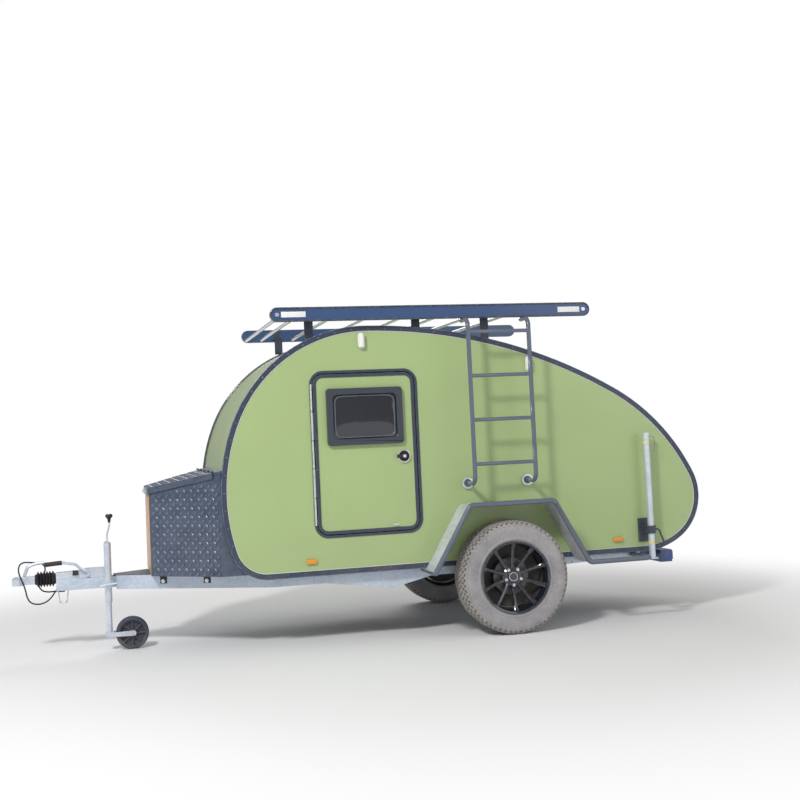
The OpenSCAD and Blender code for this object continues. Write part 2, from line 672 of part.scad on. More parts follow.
hub_face = 38;          // outer face of the wheel disc, outside the tyre's centre plane
module rim(s) on_wheel(s) difference() {
    union() {
        rotate_extrude($fn = 96) polygon([
            [bead - 16, -tyre_width * 0.38], [bead - seat, -tyre_width * 0.38], [bead - seat, tyre_width * 0.38 + seat],
            [bead + 4, tyre_width * 0.42], [rim_radius, tyre_width * 0.48], [rim_radius - 4, tyre_width * 0.495],
            [rim_radius - 14, tyre_width * 0.47], [bead - 8, tyre_width * 0.36], [bead - 16, tyre_width * 0.10]
        ]);
        for (a = [0:36:324]) rotate(a + 18) rotate([90, 0, 0]) translate([0, 0, -9]) linear_extrude(18) polygon([
            [40, hub_face - 30], [bead - 14, tyre_width * 0.36 - 34], [bead - 4, tyre_width * 0.36 - 6],
            [rim_radius - 24, tyre_width * 0.40], [60, hub_face - 4]
        ]);
        translate([0, 0, hub_face - 32]) cylinder(r = 72, h = 24);
    }
    for (a = [0:72:288]) rotate(a + 54) translate([56, 0, hub_face - 60]) cylinder(r = 8, h = 100);
    translate([0, 0, -100]) cylinder(r = 32, h = 200);
}

module drum(s) on_wheel(s) difference() {
    union() {
        translate([0, 0, -60]) cylinder(r = 124, h = 52);
        translate([0, 0, -8]) cylinder(r = 70, h = hub_face - 32 + 8 - seat);
        translate([0, 0, 0]) cylinder(r = 32 - seat, h = hub_face - 2);
        for (a = [0:72:288]) rotate(a + 54) translate([56, 0, 0]) cylinder(r = 8 - seat, h = hub_face + 6);
    }
    translate([0, 0, -100]) cylinder(r = spindle + running, h = 100 + 16);
}

// ---- Fenders ----
fender_top = tyre_diameter + 121;
fender_tube = 35;
fender_out = -half - tyre_gap - tyre_width + 12;
fender_foot = -tyre_radius - 184;
step_z = cabin_base - fender_tube / 2 - 1.5;
step_end = 985;
fender_bend = 62;
fender_path = [
    [fender_foot, step_z + 8], [fender_foot + 260, fender_top], [tyre_radius - 86, fender_top],
    [tyre_radius + 152, step_z], [step_end, step_z]
];
// Points and outward normals along the fender, with its corners rounded
function rounded_path(p, bend, steps) = [
    for (i = [0:len(p) - 1]) each
        i == 0 ? [[p[0], left_of(p[1] - p[0])]]
        : i == len(p) - 1 ? [[p[i], left_of(p[i] - p[i - 1])]]
        : let (
            a = unit(p[i] - p[i - 1]), b = unit(p[i + 1] - p[i]), side = cross([a[0], a[1], 0], [b[0], b[1], 0])[2] > 0 ? 1 : -1,
            t = bend * tan(acos(a * b) / 2), c = p[i] - a * t + side * bend * left_of(a)
        ) [for (k = [0:steps])
            let (n = unit(left_of(a) * (steps - k) + left_of(b) * k)) [c - side * bend * n, n]]
];
function left_of(v) = unit([-v[1], v[0]]);
fender_line = rounded_path([for (i = [0:3]) fender_path[i]], fender_bend, 6);
sheet = 4;
module fenders() color("lightgray") placed() both_sides()
    slab(fender_out, -half - trim - seat) polygon(concat(
        [for (q = fender_line) q[0]],
        [for (i = [len(fender_line) - 1:-1:0]) fender_line[i][0] - fender_line[i][1] * sheet]
    ));
module fender_rails() color("slategray") placed() both_sides() {
    y = fender_out - fender_tube / 2 - seat;
    stay_z = step_z - 4;
    bend = 40;
    bent_bar(concat([[fender_foot - 6, y, stay_z]], [for (i = [1:4]) [fender_path[i][0], y, fender_path[i][1]]],
        [[step_end, -rail_out - 20, step_z]]), bend, fender_tube / 2);
    // stays to the side rail
    for (x = [fender_foot - 6, step_end]) bar([x, y, stay_z], [x, -rail_out - seat, stay_z], 9);
}

// ---- Roof rack ----
rack_end = cabin_tail - 804;
tube_first = 34;          // from the rack's front end to its first cross tube
tube_second = 150;        // and to its second
rack_front = rack_end - rack_length;
rack_z = roof_top + rack_lift;
rail_y = half + 40;
rail_thickness = 30;
rail_r = rail_height / 2;
module stadium(length, r) {
    translate([r, 0]) circle(r = r);
    translate([length - r, 0]) circle(r = r);
    translate([r, -r]) square([length - 2 * r, 2 * r]);
}
module rack_rails() color("slategray") placed() both_sides() difference() {
    slab(-rail_y - rail_thickness, -rail_y) translate([rack_front, rack_z + rail_r]) stadium(rack_length, rail_r);
    slab(-rail_y - rail_thickness - 1, -rail_y - rail_thickness + 5)
        translate([rack_front + 9, rack_z + rail_r]) stadium(rack_length - 18, rail_r - 9);
}
tube_r = 12;
tube_z_rack = rack_z + tube_r + 4;
tube_pitch = (pivot[0] - 90 - rack_front - tube_second) / (rack_tubes - 2);
tube_x = concat([rack_front + tube_first],
    [for (i = [0:rack_tubes - 2]) rack_front + tube_second + i * tube_pitch]);
module rack_cross_tubes() color("silver") placed()
    for (x = tube_x) translate([x, 0, tube_z_rack]) y_cylinder(tube_r, -rail_y, rail_y);

bracket_x = [for (k = [0.2, 0.5, 0.8]) tube_x[floor(k * rack_tubes)] + tube_pitch / 2];
module rack_brackets() color("darkslategray") placed() both_sides() for (x = bracket_x) {
    slab(-inner + 10, -inner + 70) intersection() {
        outline_ring(skin_drop - 6, skin_drop);
        translate([x - 45, roof_z(x) - 120]) square([90, 240]);
    }
    box_from([x - 30, -inner + 10, max(roof_z(x - 30, skin_drop), roof_z(x + 30, skin_drop)) + 1],
        [x + 30, -inner + 16, rack_z + 26]);
    box_from([x - 30, -rail_y, rack_z + 20], [x + 30, -inner + 16, rack_z + 26]);
    box_from([x - 30, -rail_y, rack_z + 20], [x + 30, -rail_y + 6, rack_z + rail_height - 14]);
}

// ---- Ladder ----
ladder_x = -20;
ladder_y = -rail_y - rail_thickness - 115;
ladder_foot = max(cabin_base + 556, fender_top + 90);
ladder_top = rack_z - ladder_tube / 2 - seat;
module ladder() color("lightslategray") placed() {
    for (s = [-1, 1]) {
        x = ladder_x + s * ladder_width / 2;
        bent_bar([
            [x, -rail_y - 4, ladder_top], [x, ladder_y, ladder_top], [x, ladder_y, ladder_foot],
            [x, -half - 12, ladder_foot]
        ], 58, ladder_tube / 2);
        translate([x, 0, ladder_foot]) y_cylinder(38, -half - 14, -half - seat);
    }
    for (z = [ladder_top - 90:-rung_step:ladder_foot + 90])
        translate([ladder_x, ladder_y, z]) rotate([0, 90, 0])
            cylinder(r = ladder_tube / 2 - 2, h = ladder_width, center = true);
}

// ---- Lamps ----
lamp_x = [-946, 251];
lamp_r = 24;
module porch_lamps() color("white") placed() both_sides() for (x = lamp_x)
    intersection() {
        translate([x, -half - 16, roof_z(x) - 100]) {
            cylinder(r = lamp_r, h = 62, center = true);
            for (s = [-1, 1]) translate([0, 0, s * 31]) sphere(r = lamp_r);
        }
        box_from([x - 60, -half - 60, 0], [x + 60, -half, 3000]);
    }
marker_x = [cabin_nose + 579, 861];
module marker_lamps() color("orange") placed() both_sides() for (x = marker_x)
    box_from([x - 33, -half - 18, cabin_base + 82], [x + 33, -half, cabin_base + 112]);

// ---- Rear prop legs ----
prop_x = cabin_tail - 430;
prop_y = -half - 82;
prop_r = 22;
prop_low = cabin_base - 48;
prop_length = 880;
module prop_brackets() color("darkslategray") placed() both_sides() {
    difference() {
        union() {
            box_from([prop_x - 62, -half - 12, cabin_base + 70], [prop_x + 45, -half, cabin_base + 235]);
            translate([prop_x, prop_y, cabin_base + 130]) cylinder(r = prop_r + 12, h = 55);
            box_from([prop_x - 30, prop_y, cabin_base + 135], [prop_x + 30, -half - 12, cabin_base + 180]);
        }
        translate([prop_x, prop_y, 0]) cylinder(r = prop_r + running, h = 2000);
    }
    bent_bar([
        [prop_x + prop_r + 8, prop_y, cabin_base + 165], [prop_x + 62, prop_y, cabin_base + 150],
        [prop_x + 105, prop_y, cabin_base + 40]
    ], 20, 6);
}
module prop_leg(s) side_of(s) translate([prop_x, prop_y, 0]) {
    translate([0, 0, prop_low + 8]) cylinder(r = prop_r, h = prop_length - 8);
    translate([0, 0, prop_low]) cylinder(r = prop_r + 18, h = 8);
    translate([0, 0, prop_low + prop_length]) cylinder(r = prop_r + 3, h = 12);
}

// ---- Tail ----
bar_x = cabin_tail - 320;
module light_bar() color("midnightblue") placed() {
    box_from([bar_x, -half + 10, cabin_base - 90], [bar_x + 90, half - 10, cabin_base - 4]);
    both_sides() box_from([rear_end - 130, -rail_out + beam_width + seat, frame_under + 20],
        [bar_x, -rail_out + beam_width + 40, frame_under + 60]);
}
module rear_lamps() color("red") placed() both_sides()
    box_from([bar_x + 90, -half + 40, cabin_base - 78], [bar_x + 112, -half + 270, cabin_base - 16]);

// ---- Front box: tread plate on the drawbar, with a sloping lid ----
box_wall = 4;
box_x = cabin_nose - box_reach;         // the box's front
box_half = inner - 16;                  // half width at the cabin
lid_back = cabin_nose - 45;             // the lid's rear edge
lid_gap = 6;
lid_rim = 25;                           // how far the lid reaches down over the box
lid_plate = 16;
box_low = floor_under;
function box_top(x) = box_low + box_height + (x - box_x) * tan(lid_slope);
module box_plan(inset) {
    flare = atan2(box_half - box_front / 2, cabin_nose - box_x);
    corner = [box_x + inset, box_front / 2 - inset * (1 - sin(flare)) / cos(flare)];
    bend = [cabin_nose - inset * tan(flare / 2), box_half - inset];
    back = [cabin_nose + 400, box_half - inset];
    polygon([corner, bend, back, [back[0], -back[1]], [bend[0], -bend[1]], [corner[0], -corner[1]]]);
}
// A layer between two heights above the box's sloping upper edge
module lid_layer(x0, x1, low, high) slab(-half, half)
    polygon([[x0, box_top(x0) + low], [x1, box_top(x1) + low], [x1, box_top(x1) + high], [x0, box_top(x0) + high]]);
module box_space(inset, low, high) difference() {
    intersection() {
        translate([0, 0, low]) linear_extrude(1000) box_plan(inset);
        lid_layer(box_x - 50, cabin_nose + 400, -box_height - 200, high);
    }
    slab(-half, half) outline(skin_drop - seat - inset);
}
lid_pivot = [lid_back + lid_gap / 2, box_top(lid_back) + lid_plate + 8];
knuckle = 80;
lid_pin = 3;
module front_box() color("dimgray") placed() {
    difference() {
        box_space(0, box_low, 0);
        box_space(box_wall, box_low + box_wall, 10);
    }
    // fixed strip behind the lid
    difference() {
        intersection() {
            linear_extrude(2000) box_plan(-8);
            lid_layer(lid_back + lid_gap, cabin_nose + 100, 0, lid_plate);
        }
        slab(-half, half) outline(skin_drop - seat);
    }
    for (k = [-1:1]) hinge_knuckle(k * (box_half - 80), 1);
    translate([lid_pivot[0], 0, lid_pivot[1]]) y_cylinder(lid_pin, -box_half + 60, box_half - 60);
}
module box_lid() color("dimgray") placed() {
    difference() {
        intersection() {
            linear_extrude(2000) box_plan(-12);
            lid_layer(box_x - 20, lid_back, -lid_rim, lid_plate);
        }
        intersection() {
            linear_extrude(2000) box_plan(-8);
            lid_layer(box_x - 20, lid_back + 10, -lid_rim - 10, 6);
        }
    }
    difference() {
        for (k = [-1, 1]) hinge_knuckle(k * (box_half / 2 - 40), -1);
        translate([lid_pivot[0], 0, lid_pivot[1]]) y_cylinder(lid_pin + running, -half, half);
    }
}
module hinge_knuckle(y, s) {
    translate([lid_pivot[0], 0, lid_pivot[1]]) y_cylinder(6, y - knuckle / 2, y + knuckle / 2);
    translate([lid_pivot[0], y - knuckle / 2, lid_pivot[1] - 10])
        mirror([s < 0 ? 1 : 0, 0, 0]) cube([22, knuckle, 6]);
}
module box_latch() color("silver") placed() {
    z = box_top(box_x) - 12;
    box_from([box_x - 24, -35, z - 20], [box_x - 12, 35, z + 20]);
    box_from([box_x - 34, -12, z - 8], [box_x - 24, 12, z + 8]);
}

module cabin_side_left() color("olivedrab") placed() cabin_side();
module cabin_side_right() color("olivedrab") placed() mirror([0, 1, 0]) cabin_side();
module door_left_panel() color("olivedrab") placed() door_panel(-1);
module door_left_window_frame() color("black") placed() door_window_frame(-1);
module door_left_window() color("gray") placed() door_window(-1);
module door_left_handle() color("black") placed() door_handle(-1);
module left_tyre() color("dimgray") placed() tyre(-1);
module left_rim() color("black") placed() rim(-1);
module left_drum() color("silver") placed() drum(-1);
module prop_leg_left() color("lightgray") placed() prop_leg(-1);
module door_right_panel() color("olivedrab") placed() door_panel(1);
module door_right_window_frame() color("black") placed() door_window_frame(1);
module door_right_window() color("gray") placed() door_window(1);
module door_right_handle() color("black") placed() door_handle(1);
module right_tyre() color("dimgray") placed() tyre(1);
module right_rim() color("black") placed() rim(1);
module right_drum() color("silver") placed() drum(1);
module prop_leg_right() color("lightgray") placed() prop_leg(1);

cabin_side_left();
cabin_side_right();
cabin_floor();
cabin_roof();
galley_bulkhead();
galley_worktop();
edge_trims();
door_frames();
door_left_panel();
door_left_window_frame();
door_left_window();
door_left_handle();
door_right_panel();
door_right_window_frame();
door_right_window();
door_right_handle();
hatch_panel();
hatch_leaf();
hatch_handles();
hatch_hinge();
front_box();
box_lid();
box_latch();
drawbar_head();
drawbar_beams();
chassis_rails();
cross_members();
drawbar_plates();
overrun_housing();
coupling_head();
coupling_bellows();
brake_lever();
drawbar_cable();
cable_plug();
cable_holders();
jockey_clamp();
jockey_mast();
jockey_leg();
jockey_fork();
jockey_wheel();
axle_beam();
left_tyre();
left_rim();
left_drum();
right_tyre();
right_rim();
right_drum();
fenders();
fender_rails();
rack_rails();
rack_cross_tubes();
rack_brackets();
ladder();
porch_lamps();
marker_lamps();
prop_brackets();
prop_leg_left();
prop_leg_right();
light_bar();
rear_lamps();
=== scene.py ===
# Teardrop camping trailer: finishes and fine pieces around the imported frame
import json
import math

import bmesh
import bpy
from mathutils.bvhtree import BVHTree
from mathutils import Matrix, Vector


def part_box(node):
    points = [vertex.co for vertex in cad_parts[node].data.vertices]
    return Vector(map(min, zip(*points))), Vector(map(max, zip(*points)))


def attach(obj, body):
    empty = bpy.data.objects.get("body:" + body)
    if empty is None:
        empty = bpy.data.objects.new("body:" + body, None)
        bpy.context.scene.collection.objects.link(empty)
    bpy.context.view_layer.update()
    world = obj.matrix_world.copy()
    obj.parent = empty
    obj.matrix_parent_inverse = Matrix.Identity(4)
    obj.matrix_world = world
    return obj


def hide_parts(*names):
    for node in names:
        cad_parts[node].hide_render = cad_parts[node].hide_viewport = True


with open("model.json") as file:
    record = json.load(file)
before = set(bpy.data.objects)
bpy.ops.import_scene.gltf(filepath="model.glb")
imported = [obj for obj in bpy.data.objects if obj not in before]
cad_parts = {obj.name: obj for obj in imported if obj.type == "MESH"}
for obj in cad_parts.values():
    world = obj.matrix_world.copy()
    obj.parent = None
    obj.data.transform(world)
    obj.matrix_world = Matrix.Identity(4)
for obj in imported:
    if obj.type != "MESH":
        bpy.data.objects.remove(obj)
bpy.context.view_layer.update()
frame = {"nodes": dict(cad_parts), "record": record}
nodes = frame["nodes"]
scene = bpy.context.scene
bodies = frame["record"]["behaviour"]["bodies"]
bodyOf = {node: body for body, held in bodies.items() for node in held}
slotOf = {part["node"]: part["material_slot"] for part in frame["record"]["subparts"]}


def cornersOf(node):
    return [Vector(corner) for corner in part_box(node)]


sides = (("left", -1), ("right", 1))   # the ladder is on the left, where Y is below 0


# Camera, floor and lamps
cameraSet = {
    "place": (-1.8126, -8.416, 1.363),
    "turn": -14.69,   # degrees from straight ahead
    "lift": 3.08,
    "roll": -2.68,
    "lens": 52.46,
    "shiftY": -0.0327,
}
stageSet = {
    "floorColour": (0.90, 0.90, 0.90, 1),
    "floorHalf": 60,
    "fadeFrom": 2.6,   # how far from the middle the floor starts to turn white
    "fadeTo": 5.2,
    "worldLight": 0.39,
}
lampSet = {
    # name: place, aim, diameter, power
    "key": ((-4.6, -6.2, 6.4), (0.2, 0, 0.9), 1.3, 470),
    "fill": ((5.5, -6.5, 3.6), (0.4, 0, 1), 5.0, 75),
    "back": ((1.0, 7.5, 6.0), (0, 0, 1), 5.0, 220),
}


def makeCamera(values):
    data = bpy.data.cameras.new("camera")
    data.lens = values["lens"]
    data.sensor_width = 36
    data.shift_y = values["shiftY"]
    data.clip_end = 200
    camera = bpy.data.objects.new("camera", data)
    turn = Matrix.Rotation(math.radians(values["turn"]), 4, "Z")
    tilt = Matrix.Rotation(math.radians(90 + values["lift"]), 4, "X")
    roll = Matrix.Rotation(math.radians(values["roll"]), 4, "Z")
    camera.matrix_world = Matrix.Translation(values["place"]) @ turn @ tilt @ roll
    scene.collection.objects.link(camera)
    scene.camera = camera


def anyOf(tree, *rays):
    path = tree.nodes.new("ShaderNodeLightPath")
    last = path.outputs[rays[0]]
    for ray in rays[1:]:
        most = tree.nodes.new("ShaderNodeMath")
        most.operation = "MAXIMUM"
        tree.links.new(last, most.inputs[0])
        tree.links.new(path.outputs[ray], most.inputs[1])
        last = most.outputs[0]
    return last


def makeStage(values):
    half = values["floorHalf"]
    mesh = bpy.data.meshes.new("floor")
    corners = [(-half, -half, 0), (half, -half, 0), (half, half, 0), (-half, half, 0)]
    mesh.from_pydata(corners, [], [(0, 1, 2, 3)])
    floor = bpy.data.objects.new("floor", mesh)
    scene.collection.objects.link(floor)
    mat = bpy.data.materials.new("floorPale")
    mat.use_nodes = True
    tree = mat.node_tree
    shader = tree.nodes["Principled BSDF"]
    shader.inputs["Base Color"].default_value = values["floorColour"]
    shader.inputs["Roughness"].default_value = 1.0
    shader.inputs["Specular IOR Level"].default_value = 0.0
    # far from the object the floor runs out into the white of the background
    coord = tree.nodes.new("ShaderNodeTexCoord")
    away = tree.nodes.new("ShaderNodeVectorMath")
    away.operation = "LENGTH"
    tree.links.new(coord.outputs["Object"], away.inputs[0])
    fade = tree.nodes.new("ShaderNodeMapRange")
    fade.interpolation_type = "SMOOTHSTEP"
    fade.inputs["From Min"].default_value = values["fadeFrom"]
    fade.inputs["From Max"].default_value = values["fadeTo"]
    tree.links.new(away.outputs["Value"], fade.inputs["Value"])
    white = tree.nodes.new("ShaderNodeEmission")
    white.inputs["Strength"].default_value = 1.0
    blend = tree.nodes.new("ShaderNodeMath")
    blend.operation = "MULTIPLY"
    tree.links.new(fade.outputs[0], blend.inputs[0])
    tree.links.new(anyOf(tree, "Is Camera Ray", "Is Glossy Ray", "Is Transmission Ray"), blend.inputs[1])
    mix = tree.nodes.new("ShaderNodeMixShader")
    tree.links.new(blend.outputs[0], mix.inputs[0])
    tree.links.new(shader.outputs[0], mix.inputs[1])
    tree.links.new(white.outputs[0], mix.inputs[2])
    tree.links.new(mix.outputs[0], tree.nodes["Material Output"].inputs["Surface"])
    mesh.materials.append(mat)
    world = bpy.data.worlds.new("world")
    scene.world = world
    world.use_nodes = True
    tree = world.node_tree
    strength = tree.nodes.new("ShaderNodeMapRange")
    strength.inputs["To Min"].default_value = values["worldLight"]
    strength.inputs["To Max"].default_value = 1.0
    tree.links.new(anyOf(tree, "Is Camera Ray", "Is Transmission Ray"), strength.inputs["Value"])
    tree.links.new(strength.outputs[0], tree.nodes["Background"].inputs["Strength"])
    tree.nodes["Background"].inputs["Color"].default_value = (1, 1, 1, 1)


def makeLamp(name, place, aim, size, power):
    data = bpy.data.lights.new(name, "AREA")
    data.shape = "DISK"
    data.size = size
    data.energy = power
    lamp = bpy.data.objects.new(name, data)
    lamp.location = place
    lamp.rotation_euler = (Vector(aim) - Vector(place)).to_track_quat("-Z", "Y").to_euler()
    scene.collection.objects.link(lamp)


scene.view_settings.view_transform = "Standard"
makeCamera(cameraSet)
makeStage(stageSet)
for lampName, lampValues in lampSet.items():
    makeLamp(lampName, *lampValues)
print("stage ready")


# Shader groups: effects that several finishes share
def newGroup(name, inputs, outputs):
    group = bpy.data.node_groups.new(name, "ShaderNodeTree")
    for label, kind, value in inputs:
        group.interface.new_socket(label, in_out="INPUT", socket_type="NodeSocket" + kind).default_value = value
    for label, kind in outputs:
        group.interface.new_socket(label, in_out="OUTPUT", socket_type="NodeSocket" + kind)
    return group, group.nodes.new("NodeGroupInput").outputs, group.nodes.new("NodeGroupOutput").inputs


def plug(tree, value, socket):
    # value is a constant or another node's output
    if isinstance(value, bpy.types.NodeSocket):
        tree.links.new(value, socket)
    else:
        socket.default_value = value


def put(tree, kind, links=None, **settings):
    node = tree.nodes.new("ShaderNode" + kind)
    for key, value in settings.items():
        setattr(node, key, value)
    for key, value in (links or {}).items():
        plug(tree, value, node.inputs[key])
    return node


def maths(tree, operation, a, b=0.0, clamp=False):
    return put(tree, "Math", {0: a, 1: b}, operation=operation, use_clamp=clamp).outputs[0]


def mixColour(tree, factor, a, b):
    # a colour mix has its factor at 0, its colours at 6 and 7, and its result at 2
    return put(tree, "Mix", {0: factor, 6: a, 7: b}, data_type="RGBA").outputs[2]


def ranged(tree, value, low=0.0, high=1.0, least=0.0, most=1.0):
    # carries low..high over to least..most
    ends = {"Value": value, "From Min": low, "From Max": high, "To Min": least, "To Max": most}
    return put(tree, "MapRange", ends).outputs[0]


def noiseAt(tree, scale, detail=3.0, stretch=(1, 1, 1)):
    coord = put(tree, "TexCoord").outputs["Object"]
    placed = put(tree, "Mapping", {"Vector": coord, "Scale": stretch}).outputs[0]
    return put(tree, "TexNoise", {"Vector": placed, "Scale": scale, "Detail": detail}).outputs["Fac"]


def makeDust():
    group, given, out = newGroup("dustFilm", [
        ("Colour", "Color", (0.5, 0.5, 0.5, 1)), ("Dust Colour", "Color", (0.4, 0.35, 0.28, 1)),
        ("Amount", "Float", 0.5), ("Full Below", "Float", 0.1), ("None Above", "Float", 1.0),
        ("Tone Spread", "Float", 0.06)], [("Colour", "Color"), ("Mask", "Float")])
    height = put(group, "SeparateXYZ", {0: put(group, "TexCoord").outputs["Object"]}).outputs[2]
    low = ranged(group, height, given["Full Below"], given["None Above"], 1.0, 0.0)
    up = put(group, "SeparateXYZ", {0: put(group, "NewGeometry").outputs["Normal"]}).outputs[2]
    lying = maths(group, "MULTIPLY", maths(group, "MAXIMUM", up, 0.0), 0.22)
    cloud = ranged(group, noiseAt(group, 7.0, 8.0), 0.35, 0.72)
    film = maths(group, "MULTIPLY", maths(group, "ADD", low, lying, True), cloud)
    mask = maths(group, "MULTIPLY", film, given["Amount"], True)
    tone = ranged(group, noiseAt(group, 1.7, 2.0), least=-1.0)
    value = maths(group, "ADD", maths(group, "MULTIPLY", tone, given["Tone Spread"]), 1.0)
    toned = put(group, "HueSaturation", {"Value": value, "Color": given["Colour"]}).outputs[0]
    group.links.new(mixColour(group, mask, toned, given["Dust Colour"]), out["Colour"])
    group.links.new(mask, out["Mask"])
    return group


def makeGrain():
    group, given, out = newGroup("fineGrain", [
        ("Scale", "Float", 300.0), ("Height", "Float", 0.0002), ("Roughness", "Float", 0.4),
        ("Spread", "Float", 0.1)], [("Roughness", "Float"), ("Normal", "Vector")])
    fine = put(group, "TexNoise", {"Vector": put(group, "TexCoord").outputs["Object"],
        "Scale": given["Scale"], "Detail": 3.0}).outputs["Fac"]
    patch = ranged(group, noiseAt(group, 9.0, 6.0), least=-1.0)
    rough = maths(group, "ADD", maths(group, "MULTIPLY", patch, given["Spread"]), given["Roughness"], True)
    bump = put(group, "Bump", {"Height": fine, "Distance": given["Height"], "Strength": 1.0})
    group.links.new(rough, out["Roughness"])
    group.links.new(bump.outputs[0], out["Normal"])
    return group


def makeEdgeWearAndGlint():
    # edges show where the normal of a rounded copy of the surface differs from its own; the paler colour laid there
    # is partly wear and partly a painted highlight on the edges
    group, given, out = newGroup("edgeWearAndGlint", [
        ("Colour", "Color", (0, 0, 0, 1)), ("Bare Colour", "Color", (0.5, 0.5, 0.5, 1)), ("Amount", "Float", 0.5)],
        [("Colour", "Color"), ("Mask", "Float")])
    rounded = put(group, "Bevel", {"Radius": 0.004}, samples=4).outputs[0]
    flat = put(group, "NewGeometry").outputs["Normal"]
    same = put(group, "VectorMath", {0: rounded, 1: flat}, operation="DOT_PRODUCT").outputs["Value"]
    edge = ranged(group, same, 0.985, 0.86)
    chip = ranged(group, noiseAt(group, 38.0, 6.0), 0.40, 0.62)
    mask = maths(group, "MULTIPLY", maths(group, "MULTIPLY", edge, chip), given["Amount"], True)
    group.links.new(mixColour(group, mask, given["Colour"], given["Bare Colour"]), out["Colour"])
    group.links.new(mask, out["Mask"])
    return group


def makeSpangle():
    group, given, out = newGroup("zincSpangle", [
        ("Colour", "Color", (0.5, 0.5, 0.5, 1)), ("Light Colour", "Color", (0.8, 0.8, 0.8, 1)),
        ("Scale", "Float", 90.0)], [("Colour", "Color"), ("Roughness", "Float")])
    coord = put(group, "TexCoord").outputs["Object"]
    cells = put(group, "TexVoronoi", {"Vector": coord, "Scale": given["Scale"]}).outputs["Color"]
    tone = put(group, "SeparateColor", {0: cells}).outputs[0]
    streak = ranged(group, noiseAt(group, 5.0, 7.0, (1, 1, 3)), 0.3, 0.7)
    cellShare = maths(group, "MULTIPLY", tone, 0.45)
    both = maths(group, "ADD", cellShare, maths(group, "MULTIPLY", streak, 0.5), True)
    group.links.new(mixColour(group, both, given["Colour"], given["Light Colour"]), out["Colour"])
    group.links.new(maths(group, "ADD", maths(group, "MULTIPLY", tone, 0.18), 0.36), out["Roughness"])
    return group


dustFilm = makeDust()
fineGrain = makeGrain()
edgeWearAndGlint = makeEdgeWearAndGlint()
zincSpangle = makeSpangle()


def wire(tree, sockets, **values):
    for key, value in values.items():
        plug(tree, value, sockets[key.replace("_", " ")])


def useGroup(tree, group, **values):
    node = tree.nodes.new("ShaderNodeGroup")
    node.node_tree = group
    wire(tree, node.inputs, **values)
    return node.outputs


def newMaterial(name, **fixed):
    mat = finishes[name] = bpy.data.materials.new(name)
    mat.use_nodes = True
    shader = mat.node_tree.nodes["Principled BSDF"].inputs
    wire(mat.node_tree, shader, **fixed)
    return mat.node_tree, shader


dustBrown = (0.42, 0.35, 0.27, 1)
# paler edge colour: partly worn paint showing metal, partly a painted highlight on edges
wornAndGlintMetal = (0.50, 0.53, 0.57, 1)

# Paints and plastics: colour, roughness, its spread, grain scale and height, coat, paler edges from wear and a
# painted highlight, dust
# and the height in metres at which the dust ends
coatColumns = ("colour", "rough", "spread", "scale", "height", "coat", "rubAndGlint", "dust", "top")
coatSet = {
    "body_paint": ((0.385, 0.500, 0.222), 0.34, 0.06, 420, 0.00006, 0.25, 0.0, 0.35, 0.75),
    # trim_paint: the trims' own dark slate, made darker and bluer by painted shade and a painted sky reflection
    "trim_paint": ((0.035, 0.047, 0.075), 0.42, 0.10, 500, 0.00012, 0.2, 0.55, 0.30, 0.8),
    "rim_paint": ((0.014, 0.017, 0.028), 0.14, 0.06, 300, 0.00004, 1.0, 0.7, 0.0, 0.7),
    "black_plastic": ((0.016, 0.017, 0.020), 0.50, 0.10, 900, 0.00025, 0.0, 0.12, 0.30, 0.8),
    "black_rubber": ((0.013, 0.013, 0.016), 0.56, 0.12, 700, 0.0003, 0.0, 0.10, 0.22, 0.9),
    "cable_jacket": ((0.010, 0.010, 0.013), 0.44, 0.10, 800, 0.0001, 0.0, 0.0, 0.10, 0.9),
    "jockeyPlastic": ((0.036, 0.045, 0.072), 0.46, 0.10, 600, 0.0002, 0.0, 0.5, 0.25, 0.25),
    # rack_paint: satin anthracite rails painted blue, a painted sky reflection
    "rack_paint": ((0.040, 0.082, 0.200), 0.32, 0.08, 500, 0.0001, 0.3, 0.7, 0.15, 0.6),
    "ladder_paint": ((0.115, 0.140, 0.190), 0.24, 0.08, 500, 0.0001, 0.3, 0.3, 0.15, 0.6),
    "bar_paint": ((0.016, 0.055, 0.22), 0.30, 0.08, 500, 0.0001, 0.3, 0.25, 0.40, 0.8),
    "frameSlate": ((0.040, 0.050, 0.068), 0.36, 0.08, 600, 0.0001, 0.2, 0.45, 0.15, 0.8),
    "floor_board": ((0.07, 0.06, 0.052), 0.75, 0.12, 180, 0.0006, 0.0, 0.2, 0.6, 1.0),
    "sealWhite": ((0.66, 0.68, 0.70), 0.45, 0.1, 500, 0.0001, 0.0, 0.0, 0.25, 0.9),
    "tanPanel": ((0.62, 0.36, 0.17), 0.42, 0.10, 220, 0.0002, 0.1, 0.3, 0.25, 0.9),
    "grabYellow": ((0.78, 0.72, 0.36), 0.45, 0.1, 400, 0.0001, 0.0, 0.2, 0.25, 0.9),
}
